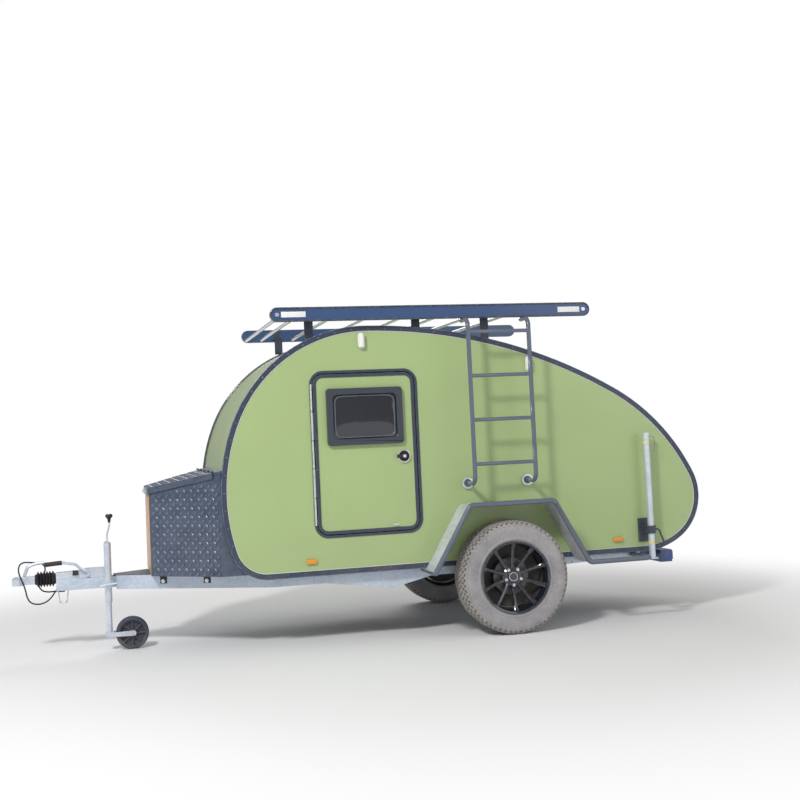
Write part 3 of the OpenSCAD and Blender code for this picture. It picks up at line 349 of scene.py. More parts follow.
# Metals: colour, pale colour, spangle scale, metallic, bump scale and height, dust and where it ends
metalColumns = ("colour", "light", "cells", "metal", "scale", "height", "dust", "top")
metalSet = {
    "galvanised": ((0.47, 0.55, 0.67), (0.70, 0.78, 0.90), 70, 0.25, 160, 0.0003, 0.25, 0.6),
    "zinc": ((0.54, 0.61, 0.71), (0.80, 0.86, 0.93), 140, 0.55, 260, 0.00015, 0.20, 0.7),
    # box_plate: bare aluminium tread plate painted dark blue-grey, painted shade and sky reflection
    "box_plate": ((0.058, 0.078, 0.125), (0.115, 0.145, 0.205), 30, 0.35, 300, 0.0002, 0.30, 0.95),
    "fender_plate": ((0.52, 0.53, 0.58), (0.72, 0.73, 0.78), 45, 0.2, 240, 0.0002, 0.15, 0.7),
    # barShadeAndGlint: the box's tread bars, paler than the plate as a painted highlight, blue-grey as painted shade
    "barShadeAndGlint": ((0.095, 0.12, 0.18), (0.19, 0.23, 0.31), 60, 0.4, 300, 0.0001, 0.15, 0.95),
    # fenderBarGlint: the fender's tread bars, paler than the plate, a painted highlight on the bars
    "fenderBarGlint": ((0.66, 0.69, 0.72), (0.90, 0.92, 0.94), 60, 0.6, 300, 0.0001, 0.15, 0.7),
    # drum_metal: darkened nearly to black as painted shade inside the wheel
    "drum_metal": ((0.060, 0.060, 0.064), (0.16, 0.155, 0.15), 60, 0.4, 180, 0.0003, 0.45, 0.9),
    "brightMetal": ((0.62, 0.64, 0.66), (0.86, 0.87, 0.88), 60, 0.95, 300, 0.00005, 0.10, 0.6),
}
# Lenses: colour, roughness, depth of the prisms
lensSet = {
    "white_lens": dict(colour=(0.86, 0.86, 0.83, 1), rough=0.32, ribs=0.0),
    "amber_lens": dict(colour=(0.95, 0.36, 0.015, 1), rough=0.14, ribs=0.0012),
    "red_lens": dict(colour=(0.55, 0.010, 0.012, 1), rough=0.14, ribs=0.0012),
}
finishes = {}


def opaque(colour):
    return (*colour, 1)


def dusted(tree, colour, v):
    return useGroup(tree, dustFilm, Colour=colour, Dust_Colour=dustBrown, Amount=v["dust"], Full_Below=0.05,
        None_Above=v["top"])


def makeCoat(name, v):
    tree, shader = newMaterial(name, Coat_Weight=v["coat"], Coat_Roughness=0.12)
    colour = opaque(v["colour"])
    # paler edges: partly wear, partly a painted edge highlight
    if v["rubAndGlint"] > 0:
        colour = useGroup(tree, edgeWearAndGlint, Colour=colour, Bare_Colour=wornAndGlintMetal, Amount=v["rubAndGlint"])["Colour"]
    dust = dusted(tree, colour, v)
    grain = useGroup(tree, fineGrain, Scale=v["scale"], Height=v["height"], Roughness=v["rough"],
        Spread=v["spread"])
    rough = maths(tree, "ADD", maths(tree, "MULTIPLY", dust["Mask"], 0.35), grain["Roughness"], True)
    wire(tree, shader, Base_Color=dust["Colour"], Roughness=rough, Normal=grain["Normal"])


def makeMetal(name, v):
    tree, shader = newMaterial(name)
    zinc = useGroup(tree, zincSpangle, Colour=opaque(v["colour"]), Light_Colour=opaque(v["light"]),
        Scale=v["cells"])
    dust = dusted(tree, zinc["Colour"], v)
    grain = useGroup(tree, fineGrain, Scale=v["scale"], Height=v["height"], Roughness=0.05, Spread=0.06)
    rough = maths(tree, "ADD", grain["Roughness"], maths(tree, "SUBTRACT", zinc["Roughness"], 0.12), True)
    metal = maths(tree, "MULTIPLY", maths(tree, "SUBTRACT", 1.0, dust["Mask"]), v["metal"], True)
    wire(tree, shader, Base_Color=dust["Colour"], Roughness=rough, Metallic=metal, Normal=grain["Normal"])


def makeLens(name, v):
    tree, shader = newMaterial(name, Coat_Weight=0.5, Coat_Roughness=0.05)
    cloud = ranged(tree, noiseAt(tree, 24.0, 4.0), least=0.86, most=1.10)
    toned = put(tree, "HueSaturation", {"Value": cloud, "Color": v["colour"]}).outputs[0]
    grain = useGroup(tree, fineGrain, Scale=60.0, Height=0.00005, Roughness=v["rough"], Spread=0.08)
    normal = grain["Normal"]
    if v["ribs"] > 0:   # prisms moulded in the lens
        coord = put(tree, "TexCoord").outputs["Object"]
        wave = put(tree, "TexWave", {"Vector": coord, "Scale": 75.0}, bands_direction="X").outputs["Fac"]
        normal = put(tree, "Bump", {"Height": wave, "Distance": v["ribs"], "Normal": normal}).outputs[0]
    wire(tree, shader, Base_Color=toned, Roughness=grain["Roughness"], Normal=normal)


def makeTyreRubber(name, dark, light):
    tree, shader = newMaterial(name, Specular_IOR_Level=0.3)
    fine = noiseAt(tree, 60.0, 8.0)
    worn = ranged(tree, noiseAt(tree, 9.0, 7.0), 0.3, 0.75)
    base = mixColour(tree, worn, dark, light)
    speck = ranged(tree, fine, 0.55, 0.75, most=0.6)
    colour = mixColour(tree, speck, base, [1.25 * c for c in light[:3]] + [1])
    bump = put(tree, "Bump", {"Height": fine, "Distance": 0.0006}).outputs[0]
    wire(tree, shader, Base_Color=colour, Roughness=ranged(tree, fine, least=0.78, most=0.98), Normal=bump)


def makePlywood():
    tree, shader = newMaterial("plywood", Coat_Weight=0.2, Coat_Roughness=0.2)
    rings = noiseAt(tree, 3.0, 5.0, (1, 0.25, 9))
    fine = noiseAt(tree, 40.0, 6.0, (1, 0.12, 8))
    grainMix = maths(tree, "ADD", maths(tree, "MULTIPLY", rings, 0.7), maths(tree, "MULTIPLY", fine, 0.3))
    tone = ranged(tree, grainMix, 0.35, 0.65)
    wood = mixColour(tree, tone, (0.30, 0.17, 0.075, 1), (0.56, 0.38, 0.20, 1))
    bump = put(tree, "Bump", {"Height": grainMix, "Distance": 0.0004}).outputs[0]
    wire(tree, shader, Base_Color=wood, Roughness=ranged(tree, fine, least=0.38, most=0.6), Normal=bump)


def makeAcrylic():
    tree, shader = newMaterial("window_acrylic", Coat_Weight=0.6, Coat_Roughness=0.03)
    shade = ranged(tree, noiseAt(tree, 3.0, 3.0), least=0.6, most=1.5)
    tint = put(tree, "HueSaturation", {"Value": shade, "Color": (0.016, 0.018, 0.024, 1)}).outputs[0]
    grain = useGroup(tree, fineGrain, Scale=30.0, Height=0.00006, Roughness=0.07, Spread=0.03)
    wire(tree, shader, Base_Color=tint, Roughness=grain["Roughness"], Normal=grain["Normal"])


for finishName, finishValues in coatSet.items():
    makeCoat(finishName, dict(zip(coatColumns, finishValues)))
for finishName, finishValues in metalSet.items():
    makeMetal(finishName, dict(zip(metalColumns, finishValues)))
for finishName, finishValues in lensSet.items():
    makeLens(finishName, finishValues)
makeTyreRubber("tyre_rubber", (0.290, 0.278, 0.292, 1), (0.400, 0.382, 0.392, 1))
makeTyreRubber("treadDusty", (0.290, 0.272, 0.262, 1), (0.440, 0.405, 0.370, 1))
# grooveShade: a darker copy of the tyre rubber for the carcass between the blocks, painted shade in the grooves
makeTyreRubber("grooveShade", (0.090, 0.084, 0.086, 1), (0.170, 0.155, 0.145, 1))
makePlywood()
makeAcrylic()
for nodeName, nodeObject in nodes.items():
    nodeObject.data.materials.clear()
    nodeObject.data.materials.append(finishes[slotOf[nodeName]])
print("finishes placed")


# Mesh helpers
def newPiece(name, mesh, finish, body, replaced=(), smooth=35):
    piece = bpy.data.objects.new(name, mesh)
    scene.collection.objects.link(piece)
    if finish is not None:
        mesh.materials.clear()
        mesh.materials.append(finishes[finish])
    if smooth:
        mesh.shade_smooth()
        mesh.set_sharp_from_angle(angle=math.radians(smooth))
    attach(piece, body)
    if replaced:
        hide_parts(*replaced)
    return piece


def outwards(bm):
    bmesh.ops.remove_doubles(bm, verts=bm.verts, dist=1e-6)
    bmesh.ops.recalc_face_normals(bm, faces=bm.faces)


def finished(bm, name):
    outwards(bm)
    mesh = bpy.data.meshes.new(name)
    bm.to_mesh(mesh)
    bm.free()
    return mesh


def turnedMesh(name, profile, place, axis, steps=48, closed=False):
    # profile holds (radius, distance along axis); a radius of 0 closes the end in a pole
    bm = bmesh.new()
    turn = Vector((0, 0, 1)).rotation_difference(Vector(axis)).to_matrix()
    rings = []
    for radius, along in profile:
        if radius == 0:
            rings.append([bm.verts.new(Vector(place) + turn @ Vector((0, 0, along)))])
            continue
        around = (2 * math.pi * k / steps for k in range(steps))
        ring = [Vector((radius * math.cos(a), radius * math.sin(a), along)) for a in around]
        rings.append([bm.verts.new(Vector(place) + turn @ p) for p in ring])
    pairs = list(zip(rings, rings[1:])) + ([(rings[-1], rings[0])] if closed else [])
    for low, high in pairs:
        for k in range(steps):
            after = k + 1
            corners = list(dict.fromkeys((low[k % len(low)], low[after % len(low)], high[after % len(high)],
                high[k % len(high)])))
            if len(corners) > 2:
                bm.faces.new(corners)
    return finished(bm, name)


def tubeMesh(name, path, radius, steps=12):
    bm = bmesh.new()
    points = [Vector(p) for p in path]
    side = None
    rings = []
    for k, point in enumerate(points):
        along = (points[min(k + 1, len(points) - 1)] - points[max(k - 1, 0)]).normalized()
        if side is None:
            side = along.orthogonal().normalized()
        side = (side - side.dot(along) * along).normalized()
        other = along.cross(side)
        rings.append([bm.verts.new(point + radius * (math.cos(a) * side + math.sin(a) * other))
            for a in (2 * math.pi * j / steps for j in range(steps))])
    for low, high in zip(rings, rings[1:]):
        for j in range(steps):
            bm.faces.new((low[j], low[(j + 1) % steps], high[(j + 1) % steps], high[j]))
    bm.faces.new(rings[0][::-1])
    bm.faces.new(rings[-1])
    return finished(bm, name)


def blockMesh(name, low, high, round=0.002, segments=2, turn=None):
    bm = bmesh.new()
    bmesh.ops.create_cube(bm, size=1.0)
    low, high = Vector(low), Vector(high)
    for v in bm.verts:
        v.co = Vector((v.co[i] * (high[i] - low[i]) for i in range(3)))
    if round:
        bmesh.ops.bevel(bm, geom=bm.edges[:], offset=round, segments=segments, affect="EDGES", profile=0.5)
    for v in bm.verts:
        v.co = (turn @ v.co if turn else v.co) + (low + high) / 2
    return finished(bm, name)


def joined(name, meshes):
    bm = bmesh.new()
    for mesh in meshes:
        bm.from_mesh(mesh)
        bpy.data.meshes.remove(mesh)
    bmesh.ops.recalc_face_normals(bm, faces=bm.faces)
    mesh = bpy.data.meshes.new(name)
    bm.to_mesh(mesh)
    bm.free()
    return mesh


def paintFaces(piece, finish, where):
    # gives a finish of its own to the faces whose middle where() accepts
    mesh = piece.data
    mesh.materials.append(finishes[finish])
    for face in mesh.polygons:
        if where(face.center):
            face.material_index = len(mesh.materials) - 1


def softened(node, finish=None, bevel=0.0, segments=2, smooth=32):
    # a merged, smooth-shaded copy of a CAD node, with its hard edges rounded
    bm = bmesh.new()
    bm.from_mesh(nodes[node].data)
    bmesh.ops.remove_doubles(bm, verts=bm.verts, dist=2e-5)
    bmesh.ops.dissolve_limit(bm, angle_limit=math.radians(0.6), verts=bm.verts, edges=bm.edges)
    mesh = bpy.data.meshes.new(node + "Soft")
    bm.to_mesh(mesh)
    bm.free()
    piece = newPiece(node + "_soft", mesh, finish or slotOf[node], bodyOf[node], (node,), smooth)
    if bevel:
        edge = piece.modifiers.new("edges", "BEVEL")
        edge.width = bevel
        edge.segments = segments
        edge.limit_method = "ANGLE"
        edge.angle_limit = math.radians(40)
        edge.use_clamp_overlap = False
        edge.harden_normals = True
    return piece


# Geometry Nodes: a shape repeated on given points, a shape along a line, and a bead along a line
def newTree(name, inputs):
    tree = bpy.data.node_groups.new(name, "GeometryNodeTree")
    tree.interface.new_socket("Geometry", in_out="INPUT", socket_type="NodeSocketGeometry")
    ident = {}
    for label, kind in inputs:
        ident[label] = tree.interface.new_socket(label, in_out="INPUT", socket_type="NodeSocket" + kind).identifier
    tree.interface.new_socket("Geometry", in_out="OUTPUT", socket_type="NodeSocketGeometry")
    return tree, ident, tree.nodes.new("NodeGroupInput").outputs, tree.nodes.new("NodeGroupOutput").inputs


def turnedTo(tree, before, axis, pivot, vector):
    node = tree.nodes.new("FunctionNodeAlignRotationToVector")
    node.axis = axis
    node.pivot_axis = pivot
    if before is not None:
        tree.links.new(before, node.inputs["Rotation"])
    tree.links.new(vector, node.inputs["Vector"])
    return node.outputs[0]


def placeShapes(tree, given, points, facing, along, out):
    shape = tree.nodes.new("GeometryNodeObjectInfo")
    tree.links.new(given["Shape"], shape.inputs["Object"])
    chance = tree.nodes.new("FunctionNodeRandomValue")
    floats = [s for s in chance.inputs if s.type == "VALUE"]
    for socket, label in ((floats[0], "Smallest"), (floats[1], "Largest")):
        tree.links.new(given[label], socket)
    tree.links.new(given["Seed"], chance.inputs["Seed"])
    place = tree.nodes.new("GeometryNodeInstanceOnPoints")
    tree.links.new(points, place.inputs["Points"])
    tree.links.new(shape.outputs["Geometry"], place.inputs["Instance"])
    rotation = turnedTo(tree, turnedTo(tree, None, "Z", "AUTO", facing), "X", "Z", along)
    tree.links.new(rotation, place.inputs["Rotation"])
    size = [s for s in chance.outputs if s.type == "VALUE"][0]
    tree.links.new(size, place.inputs["Scale"])
    real = tree.nodes.new("GeometryNodeRealizeInstances")
    tree.links.new(place.outputs[0], real.inputs[0])
    coat = tree.nodes.new("GeometryNodeSetMaterial")
    tree.links.new(real.outputs[0], coat.inputs["Geometry"])
    tree.links.new(given["Finish"], coat.inputs["Material"])
    tree.links.new(coat.outputs[0], out["Geometry"])


def pointTree():
    tree, ident, given, out = newTree("repeatOnPoints", [("Shape", "Object"), ("Smallest", "Float"),
        ("Largest", "Float"), ("Seed", "Int"), ("Finish", "Material")])
    vectors = []
    for label in ("facing", "along"):
        named = tree.nodes.new("GeometryNodeInputNamedAttribute")
        named.data_type = "FLOAT_VECTOR"
        named.inputs["Name"].default_value = label
        vectors.append(named.outputs["Attribute"])
    placeShapes(tree, given, given["Geometry"], vectors[0], vectors[1], out)
    return tree, ident


def lineTree():
    tree, ident, given, out = newTree("repeatAlongLine", [("Shape", "Object"), ("Spacing", "Float"),
        ("Facing", "Vector"), ("Smallest", "Float"), ("Largest", "Float"), ("Seed", "Int"), ("Finish", "Material")])
    curve = tree.nodes.new("GeometryNodeMeshToCurve")
    tree.links.new(given["Geometry"], curve.inputs["Mesh"])
    steps = tree.nodes.new("GeometryNodeResampleCurve")
    steps.mode = "LENGTH"
    tree.links.new(curve.outputs[0], steps.inputs["Curve"])
    tree.links.new(given["Spacing"], steps.inputs["Length"])
    tangent = tree.nodes.new("GeometryNodeInputTangent")
    placeShapes(tree, given, steps.outputs[0], given["Facing"], tangent.outputs[0], out)
    return tree, ident


def beadTree():
    tree, ident, given, out = newTree("beadAlongLine", [("Radius", "Float"), ("Finish", "Material")])
    curve = tree.nodes.new("GeometryNodeMeshToCurve")
    tree.links.new(given["Geometry"], curve.inputs["Mesh"])
    ring = tree.nodes.new("GeometryNodeCurvePrimitiveCircle")
    ring.inputs["Resolution"].default_value = 8
    tree.links.new(given["Radius"], ring.inputs["Radius"])
    sweep = tree.nodes.new("GeometryNodeCurveToMesh")
    sweep.inputs["Fill Caps"].default_value = True
    tree.links.new(curve.outputs[0], sweep.inputs["Curve"])
    tree.links.new(ring.outputs["Curve"], sweep.inputs["Profile Curve"])
    coat = tree.nodes.new("GeometryNodeSetMaterial")
    tree.links.new(sweep.outputs[0], coat.inputs["Geometry"])
    tree.links.new(given["Finish"], coat.inputs["Material"])
    tree.links.new(coat.outputs[0], out["Geometry"])
    return tree, ident


pointWork = pointTree()
lineWork = lineTree()
beadWork = beadTree()
shapes = {}


def keepShape(name, mesh):
    shapes[name] = bpy.data.objects.new(name + "Shape", mesh)


def grown(name, seeds, work, values, finish, body, smooth=35):
    # runs a tree on the seeds and keeps the result as a plain mesh
    tree, ident = work
    obj = bpy.data.objects.new(name, seeds)
    scene.collection.objects.link(obj)
    made = obj.modifiers.new("repeat", "NODES")
    made.node_group = tree
    for label, value in {**values, "Finish": finishes[finish]}.items():
        made[ident[label]] = value
    held = bpy.context.evaluated_depsgraph_get()
    mesh = bpy.data.meshes.new_from_object(obj.evaluated_get(held), depsgraph=held)
    obj.modifiers.clear()
    bpy.data.objects.remove(obj)
    piece = newPiece(name, mesh, None, body, smooth=0)
    mesh.shade_smooth()
    mesh.set_sharp_from_angle(angle=math.radians(smooth))
    return piece


def onPoints(name, points, shape, finish, body, spread=0.0, seed=1, smooth=35):
    # points holds (place, facing, along)
    seeds = bpy.data.meshes.new(name + "Seeds")
    seeds.from_pydata([p[0] for p in points], [], [])
    for k, label in ((1, "facing"), (2, "along")):
        layer = seeds.attributes.new(label, "FLOAT_VECTOR", "POINT")
        layer.data.foreach_set("vector", [c for p in points for c in p[k]])
    values = {"Shape": shapes[shape], "Smallest": 1.0 - spread, "Largest": 1.0 + spread, "Seed": seed}
    return grown(name, seeds, pointWork, values, finish, body, smooth)


def lineMesh(name, lines, closed=True):
    mesh = bpy.data.meshes.new(name)
    places, edges = [], []
    for line in lines:
        first = len(places)
        places += [tuple(p) for p in line]
        edges += [(first + k, first + k + 1) for k in range(len(line) - 1)]
        if closed:
            edges.append((first + len(line) - 1, first))
    mesh.from_pydata(places, edges, [])
    return mesh


def capMesh(name, radius, rise, steps=10):
    return turnedMesh(name, [(radius, 0), (radius * 0.92, rise * 0.45), (radius * 0.6, rise * 0.85), (0, rise)],
        (0, 0, 0), (0, 0, 1), steps)


def prismMesh(name, foot, deep, shrink, rise):
    # a low block on a six-sided foot, with its top drawn in along X and Y
    bm = bmesh.new()
    low = [bm.verts.new((x, y, -deep)) for x, y in foot]
    top = [bm.verts.new((x * shrink[0], y * shrink[1], rise)) for x, y in foot]
    bm.faces.new(low[::-1])
    bm.faces.new(top)
    for k in range(6):
        bm.faces.new((low[k], low[(k + 1) % 6], top[(k + 1) % 6], top[k]))
    return finished(bm, name)


def lozengeMesh(name, length, width, rise):
    # a raised bar of tread plate: pointed in plan, with a flat top
    foot = [(length / 2, 0), (length * 0.2, width / 2), (-length * 0.2, width / 2), (-length / 2, 0),
        (-length * 0.2, -width / 2), (length * 0.2, -width / 2)]
    return prismMesh(name, foot, 0.0004, (0.72, 0.55), rise)


def nutMesh(name, radius, height):
    profile = [(radius, 0), (radius, height * 0.75), (radius * 0.86, height), (0, height)]
    return turnedMesh(name, profile, (0, 0, 0), (0, 0, 1), 6)


detailSet = {
    # name: how it is made, then radius and height, or length, width and height
    "rivet": (capMesh, 0.0055, 0.0026),
    "nut": (nutMesh, 0.0125, 0.016),
    "railBolt": (nutMesh, 0.016, 0.008),
    "plateBar": (lozengeMesh, 0.037, 0.017, 0.0022),
    "fenderBar": (lozengeMesh, 0.044, 0.013, 0.0032),
}
for shapeName, (makeShape, *shapeSizes) in detailSet.items():
    keepShape(shapeName, makeShape(shapeName, *shapeSizes))
print("tools ready")


# Cabin: the outline's arcs, trims with rivets and beads, linings, door frames
outlineSet = {"tailLow": 0.520, "tail": 0.365, "nose": 1.300, "chin": 0.246, "chord": 1.5,
    "start": (-90, -57, 26, 60, 90, 158, 197)}   # directions of the outward normal where the arcs start
trimSet = {"rivetInset": 0.019, "rivetSpacing": 0.118, "faceWidth": 0.036, "bead": 0.0028,
    "lip": 0.0042, "lipInset": 0.0065}


def trimOutline():
    # the chain of tangent arcs that the cabin follows, from the floor round the tail, roof and nose
    low, high = cornersOf("edge_trims")
    length, height = high.x - low.x, high.z - low.z
    tailLow, tail, nose, chin = (outlineSet[k] for k in ("tailLow", "tail", "nose", "chin"))
    start = outlineSet["start"]
    sin, cos = ([f(math.radians(a)) for a in start] for f in (math.sin, math.cos))
    brow = (height - nose * (sin[5] - sin[6]) - chin * (sin[6] + 1)) / (1 - sin[5])
    rise = height - tailLow * (1 + sin[1]) - tail * (sin[2] - sin[1])
    run = length - tail * (1 - cos[2]) + brow * cos[5] - nose * (1 + cos[5])
    chain = (sin[3] - sin[2]) * cos[3] - (1 - sin[3]) * (cos[2] - cos[3])
    back = (rise * cos[3] - (1 - sin[3]) * run) / chain
    roof = ((sin[3] - sin[2]) * run - (cos[2] - cos[3]) * rise) / chain
    radii = (tailLow, tail, back, roof, brow, nose, chin)
    centre = Vector((high.x - tail - (tailLow - tail) * cos[1], 0, low.z + tailLow))
    line = []
    for k, radius in enumerate(radii):
        if k:
            centre = centre + (radii[k - 1] - radius) * Vector((cos[k], 0, sin[k]))
        stop = start[k + 1] if k + 1 < len(start) else 270
        steps = max(2, round((stop - start[k]) / outlineSet["chord"]))
        for n in range(steps):
            angle = math.radians(start[k] + (stop - start[k]) * n / steps)
            line.append(centre + radius * Vector((math.cos(angle), 0, math.sin(angle))))
    return line, max(abs(low.y), abs(high.y))


def insetLine(ring, inset, y):
    line = []
    for k, p in enumerate(ring):
        along = (ring[(k + 1) % len(ring)] - ring[k - 1]).normalized()
        inward = Vector((-along.z, 0, along.x))   # the line runs from +X up round to -X
        line.append(Vector((p.x, y, p.z)) + inward * inset)
    return line


cabinRing, trimFace = trimOutline()
for side, sign in sides:
    faceY = sign * trimFace
    facing = (0, sign, 0)
    rivetLine = lineMesh("rivetLine", [insetLine(cabinRing, trimSet["rivetInset"], faceY)])
    grown("trimRivets" + side.title(), rivetLine, lineWork,
        {"Shape": shapes["rivet"], "Spacing": trimSet["rivetSpacing"], "Facing": facing, "Smallest": 0.9,
         "Largest": 1.1, "Seed": 3}, "ladder_paint", "trailer")
    # a bead in the rails' paler blue along the trim's outer edge, a painted highlight on that edge
    edgeGlintLine = lineMesh("edgeGlintLine", [insetLine(cabinRing, 0.001, faceY)])
    grown("trimBead" + side.title(), edgeGlintLine, beadWork, {"Radius": trimSet["bead"]}, "rack_paint", "trailer")
    innerBead = lineMesh("innerBead", [insetLine(cabinRing, trimSet["faceWidth"], faceY - sign * 0.002)])
    grown("trimSeal" + side.title(), innerBead, beadWork, {"Radius": 0.0026}, "sealWhite", "trailer")
    # a dark lip on the side wall's inner edge, where it stands over the roof
    lipY = sign * min(abs(c[1]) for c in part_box("cabin_side_" + side))
    lipLine = lineMesh("lipLine", [insetLine(cabinRing, trimSet["lipInset"], lipY)])
    grown("trimLip" + side.title(), lipLine, beadWork, {"Radius": trimSet["lip"]}, "trim_paint", "trailer")
for node in ("cabin_roof", "hatch_panel", "edge_trims", "cabin_side_left", "cabin_side_right", "cabin_floor"):
    board = softened(node, smooth=20)
    if node.startswith("cabin_side"):
        liningY = min(abs(c[1]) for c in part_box(node))
        paintFaces(board, "plywood", lambda p: abs(p.y) < liningY + 0.0005)
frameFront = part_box("door_frames")[0][0]
paintFaces(softened("door_frames", bevel=0.0018), "brightMetal",
    lambda p: p.x < frameFront + 0.022 and abs(p.y) > 0.7205)
print("cabin finished")


# Doors: domed panes, frames with rounded edges, round handles with a bright ring
paneSet = {"crown": 0.014, "steps": 22, "power": 3.0, "square": 14.0}
handleSet = {"ring": 0.047, "well": 0.034, "lock": 0.011, "stand": 0.020}


def paneMesh(name, low, high, sign):
    bm = bmesh.new()
    steps = paneSet["steps"]
    middle, reach = (low + high) / 2, (high - low) / 2
    outer = low.y if sign < 0 else high.y
    inner = high.y if sign < 0 else low.y
    front, rows = [], range(-steps, steps + 1)
    for i in rows:
        line = []
        for k in rows:
            u, w = i / steps, k / steps
            # squares the disc into a rounded rectangle
            longest = max(abs(u), abs(w))
            squared = sum(abs(c) ** paneSet["square"] for c in (u, w)) ** (1 / paneSet["square"])
            shrink = longest / squared if longest else 1.0
            x, z = u * shrink, w * shrink
            rise = (1 - abs(u) ** paneSet["power"]) * (1 - abs(w) ** paneSet["power"])
            line.append(bm.verts.new((middle.x + x * reach.x, outer - sign * 0.008 + sign * paneSet["crown"] * rise,
                middle.z + z * reach.z)))
        front.append(line)
    for a, b in zip(front, front[1:]):
        for k in range(len(a) - 1):
            bm.faces.new((a[k], a[k + 1], b[k + 1], b[k]))
    rim = [e for e in bm.edges if e.is_boundary]
    wall = bmesh.ops.extrude_edge_only(bm, edges=rim)["geom"]
    edges = [g for g in wall if isinstance(g, bmesh.types.BMEdge)]
    for v in (g for g in wall if isinstance(g, bmesh.types.BMVert)):
        v.co.y = inner
    bmesh.ops.holes_fill(bm, edges=edges)
    return finished(bm, name)


for side, sign in sides:
    body = "door_" + side
    pane = "door_" + side + "_window"
    low, high = cornersOf(pane)
    newPiece(pane + "_dome", paneMesh(pane, low, high, sign), "window_acrylic", body, (pane,), 30)
    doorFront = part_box(body + "_panel")[0][0]
    doorInner = min(abs(c[1]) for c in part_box(body + "_panel"))
    leaf = softened(body + "_panel", bevel=0.0015)
    paintFaces(leaf, "trim_paint", lambda p: abs(p.y) > 0.7172)
    paintFaces(leaf, "plywood", lambda p: abs(p.y) < doorInner + 0.0005)
    paintFaces(leaf, "brightMetal", lambda p: p.x < doorFront + 0.022 and abs(p.y) > 0.7185)
    softened(body + "_window_frame", "frameSlate", bevel=0.006, segments=3)
    # a thin bright bead that holds the pane
    middle, reach = (low + high) / 2, (high - low) / 2
    beadY = (low.y if sign < 0 else high.y) - sign * 0.0045
    bead = []
    for k in range(96):
        u, w = math.cos(2 * math.pi * k / 96), math.sin(2 * math.pi * k / 96)
        bulge = 0.93 / (abs(u) ** 9 + abs(w) ** 9) ** (1 / 9)
        bead.append((middle.x + reach.x * u * bulge, beadY, middle.z + reach.z * w * bulge))
    grown(pane + "_bead", lineMesh("paneBead", [bead]), beadWork, {"Radius": 0.0035}, "ladder_paint", body)
    grip = body + "_handle"
    low, high = cornersOf(grip)
    face = high.y if sign < 0 else low.y
    tip = low.y if sign < 0 else high.y
    centre = Vector((high.x - 0.044, face, (low.z + high.z) / 2))
    ring = handleSet["ring"]
    chrome = turnedMesh("handleRing", [(ring - 0.012, 0), (ring, 0), (ring, 0.008), (ring - 0.003, 0.014),
        (ring - 0.009, 0.015), (ring - 0.012, 0.010)], centre, (0, sign, 0), 56, True)
    newPiece(body + "_handle_ring", chrome, "brightMetal", body)
    well = turnedMesh("handleWell", [(0, 0.0), (ring - 0.0115, 0.0), (ring - 0.0115, 0.009), (0.024, 0.006),
        (0.022, 0.016), (0.017, handleSet["stand"]), (0, handleSet["stand"])], centre, (0, sign, 0), 48)
    paddle = blockMesh("paddle", (centre.x - 0.052, min(tip, tip - sign * 0.011), centre.z - 0.012),
        (centre.x + 0.010, max(tip, tip - sign * 0.011), centre.z + 0.012), 0.004, 3)
    newPiece(grip + "_shape", joined("grip", [well, paddle]), "black_plastic", body, (grip,))
    lock = turnedMesh("lock", [(handleSet["lock"], 0), (handleSet["lock"], 0.003), (0.008, 0.004), (0, 0.004)],
        (centre.x, tip, centre.z), (0, sign, 0), 24)
    newPiece(grip + "_lock", lock, "brightMetal", body)
    # the leaf's catch, near its rear lower corner
    doorLow, doorHigh = cornersOf(body + "_panel")
    out = doorLow.y if sign < 0 else doorHigh.y
    catch = blockMesh("catch", (doorHigh.x - 0.190, min(out, out + sign * 0.004), doorLow.z + 0.036),
        (doorHigh.x - 0.152, max(out, out + sign * 0.004), doorLow.z + 0.047), 0.0015)
    newPiece(body + "_catch", catch, "brightMetal", body)
print("doors finished")


# Wheels: turned tyres with tread blocks, rims with thin spokes, nuts and a plain cap
wheelSet = {
    "blocks": 62, "spokes": 10, "nuts": 5, "nutCircle": 0.056,
    # radius and distance from the tyre's middle, from the bead to the tread
    "sidewall": [(0.231, 0.080), (0.233, 0.090), (0.240, 0.0965), (0.250, 0.0975), (0.256, 0.1035), (0.263, 0.1045),
        (0.269, 0.1010), (0.285, 0.1045), (0.303, 0.1085), (0.322, 0.1105), (0.338, 0.1095), (0.350, 0.1055),
        (0.360, 0.0985), (0.3675, 0.0890), (0.3712, 0.0780), (0.3725, 0.0600), (0.3725, 0.0300)],
}
# Blocks of the tread: length, width, height
treadShapes = {
    "treadBlock": (0.031, 0.0225, 0.0072),
    "shoulderBlock": (0.029, 0.024, 0.0068),
    "sideLug": (0.021, 0.034, 0.0060),
}
# Rows of the tread: distance from the middle, radius, tilt outwards in degrees, share of a pitch, shape
treadRows = [
    (0.000, 0.3722, 0, 0.00, "treadBlock"),
    (0.0265, 0.3722, 2, 0.50, "treadBlock"),
    (0.0530, 0.3720, 4, 0.15, "treadBlock"),
    (0.0790, 0.3695, 14, 0.60, "shoulderBlock"),
    (0.0985, 0.3575, 54, 0.10, "sideLug"),
]


def treadBlockMesh(name, length, width, rise):
    foot = [(length / 2, -width * 0.42), (length * 0.42, width / 2), (-length * 0.18, width * 0.42),
        (-length / 2, width / 2), (-length * 0.42, -width / 2), (length * 0.16, -width * 0.40)]
    return prismMesh(name, foot, 0.003, (0.82, 0.82), rise)


